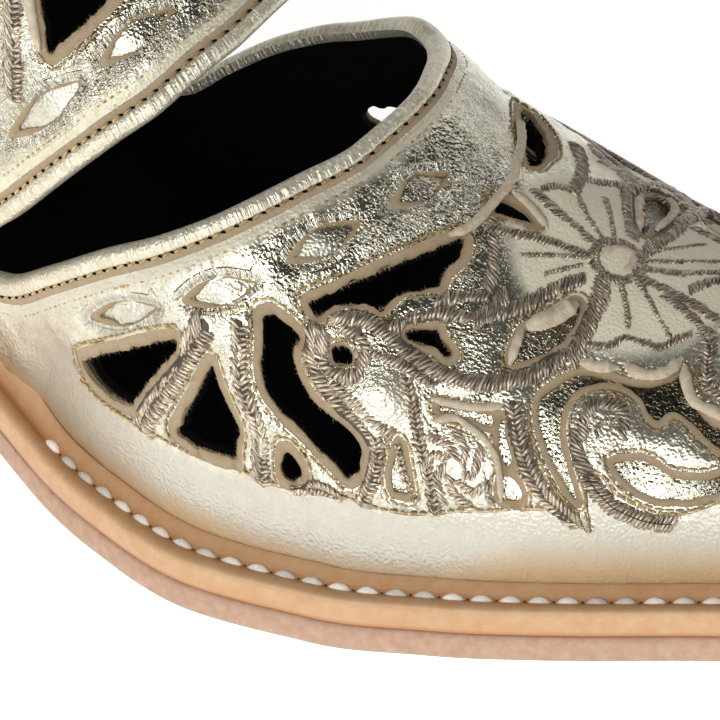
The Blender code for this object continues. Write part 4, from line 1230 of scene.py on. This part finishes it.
welt = swept("stitched_welt", [
    (8.5, WELT_LOW, 1, 0), (0.5, WELT_LOW, 1, 0), (0.16, 3.9, 0.9, 0), (0.02, 4.6, 0.25, 0),
    (0.0, 5.6, 0.1, 0), (0.04, 6.6, 0, 0), (0.2, 7.15, 0, 0), (0.55, 7.42, 0.1, 0),
    (1.0, 7.5, 0.3, 0), (1.7, 7.42, 0.5, 0), (2.3, 7.2, 0.65, 0), (2.6, 6.95, 0.8, 0),
    (3.0, 6.85, 0.8, 0), (3.4, 6.95, 0.7, 0), (3.7, 7.25, 0.45, 0.3), (4.2, 7.6, 0.2, 1.2),
    (4.8, 7.95, 0.15, 2.6), (5.25, 8.1, 0.35, 3.6), (5.6, 7.9, 0.9, 3.4), (5.9, 6.6, 1, 0),
    (8.5, 6.6, 1, 0)], WELT)
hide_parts("welt")

# plump lock-stitches in the welt's channel, 3 mm in from its edge round the forepart
x = np.linspace(SEWN_FROM, LENGTH - 3.05, 900)
halves = [np.stack([x, outline_y(x, side, 3.0), underside(x) + 7.0], 1) for side in (-1, 1)]
rim = np.concatenate([halves[0], halves[1][::-1]])
middles = np.arange(WELT_STITCH / 2, run_along(rim)[-1], WELT_STITCH)
place = at(rim, middles)
ahead = unit(place - at(rim, middles - 0.4))
up = np.array([0, 0, 1.0])
side = unit(np.cross(ahead, up))
bead = np.linspace(-1, 1, 9)
along = bead * 1.42
thick = np.clip(1 - np.abs(bead) ** 2.2, 0.12, 1) ** 0.7 * 0.58
turn = np.arange(10) / 10 * 2 * np.pi
n = len(place)
points = (place[:, None, None] + ahead[:, None, None] * along[None, :, None, None]
          + hoop(side * 1.05, up * 0.7, turn)[:, None] * thick[None, :, None, None]
          + up * (0.1 - 0.4 * bead ** 2)[None, :, None, None])
marks = np.stack(np.broadcast_arrays(along[None, :, None], turn[None, None],
                                     rng.random(n)[:, None, None]), -1)
make("welt_stitches", points.reshape(-1, 3), capped(n, 9, 10), WAXED,
     {"strand": marks.reshape(-1, 3)}, sharp=0)
# awl holes between the stitches: dark buttons sunk in the channel, painted shade in place of the
# holes
points = (place[:, None, None] + ahead[:, None, None] * WELT_STITCH / 2
          + hoop(*np.eye(3)[:2], turn) * np.array([0.17, 0.13, 0.03])[None, :, None, None]
          + up * np.array([-0.3, 0.0, 0.04])[None, :, None, None])
make("welt_awl_holes", points.reshape(-1, 3), capped(n, 3, 10), AWL_HOLE_SHADE)

outsole = swept("leather_outsole", [
    (30.0, 0.0, 0, 0), (12.0, 0.0, 0, 0), (1.0, 0.0, 0, 0), (0.45, 0.06, 1, 0), (0.12, 0.2, 1, 0),
    (0.06, 0.34, 0.05, 0), (0.0, 0.9, 0, 0), (-0.02, 1.8, 0, 0), (0.03, 2.9, 0, 0),
    (0.2, OUTSOLE_TOP - 0.15, 0, 0), (0.5, OUTSOLE_TOP, 0, 0), (12.0, OUTSOLE_TOP, 0, 0),
    (30.0, OUTSOLE_TOP, 0, 0)], SOLE)
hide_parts("outsole")

# stacked lifts of the heel, waxed, darker between the layers
STACK = plain("stacked_heel_leather", "#c98f63", "#8a5836", 0.9, 0.1, 0.45, (0.3, 0.3, 2.2))
# black rubber of the tap, dull
RUBBER = plain("heel_rubber", "#1c1a18", "#0e0d0c", 0.6, 0.08, 0.75)
for node, material in (("heel", STACK), ("top_lift", RUBBER), ("insole", BLACK)):
    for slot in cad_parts[node].material_slots:
        slot.material = material

# ---- floor, light, camera ------------------------------------------------------------------
# white floor that glows a little, so that shadows on it stay pale
FLOOR = plain("pale_floor", "#ffffff", "#fdfdfd", 40.0, 0.0, 0.9,
              Emission_Color=colour("#ffffff"), Emission_Strength=0.75)
mesh = bpy.data.meshes.new("floor")
mesh.from_pydata([(-4, -4, 0), (4, -4, 0), (4, 4, 0), (-4, 4, 0)], [], [(0, 1, 2, 3)])
mesh.materials.append(FLOOR)
floor = placed("floor", mesh)

world = bpy.data.worlds.new("studio")
bpy.context.scene.world = world
world.use_nodes = True
# pale walls under a dark ceiling, so the foil turns from white to olive as it turns up
sky = add(world.node_tree, "TexCoord", out="Generated")
sky = add(world.node_tree, "SeparateXYZ", out=2, _0=sky)
sky = ramp(world.node_tree, sky, [(0.0, 0.5), (0.2, 0.3), (0.5, 0.04), (1.0, 0.02)])
world.node_tree.links.new(sky, world.node_tree.nodes["Background"].inputs[0])

TARGET = Vector((0.02229, -0.01123, 0.01895))


def aimed(azimuth, elevation, away):
    """Matrix of a light or camera that looks at the shoe from so many metres away. Azimuth 0
    stands in front of the outer side."""
    a, e = np.radians(azimuth), np.radians(elevation)
    spot = TARGET + away * Vector((np.sin(a) * np.cos(e), -np.cos(a) * np.cos(e), np.sin(e)))
    return Matrix.LocRotScale(spot, (spot - TARGET).to_track_quat("Z", "Y"), None)


def softbox(name, azimuth, elevation, away, width, height, power):
    """Rectangular area light aimed at the shoe."""
    light = bpy.data.lights.new(name, "AREA")
    light.shape, light.size, light.size_y, light.energy = "RECTANGLE", width, height, power
    placed(name, light).matrix_world = aimed(azimuth, elevation, away)


softbox("front_box", 5, 33, 1.3, 1.6, 0.75, 12)
softbox("back_box", 185, 40, 1.3, 1.4, 1.0, 3.5)

camera = bpy.data.cameras.new("camera")
camera.sensor_width, camera.lens = 36.0, 378.0
view = placed("camera", camera)
view.matrix_world = aimed(29.5, 36.7, 0.9)
bpy.context.scene.camera = view
bpy.context.scene.view_settings.view_transform = "Standard"
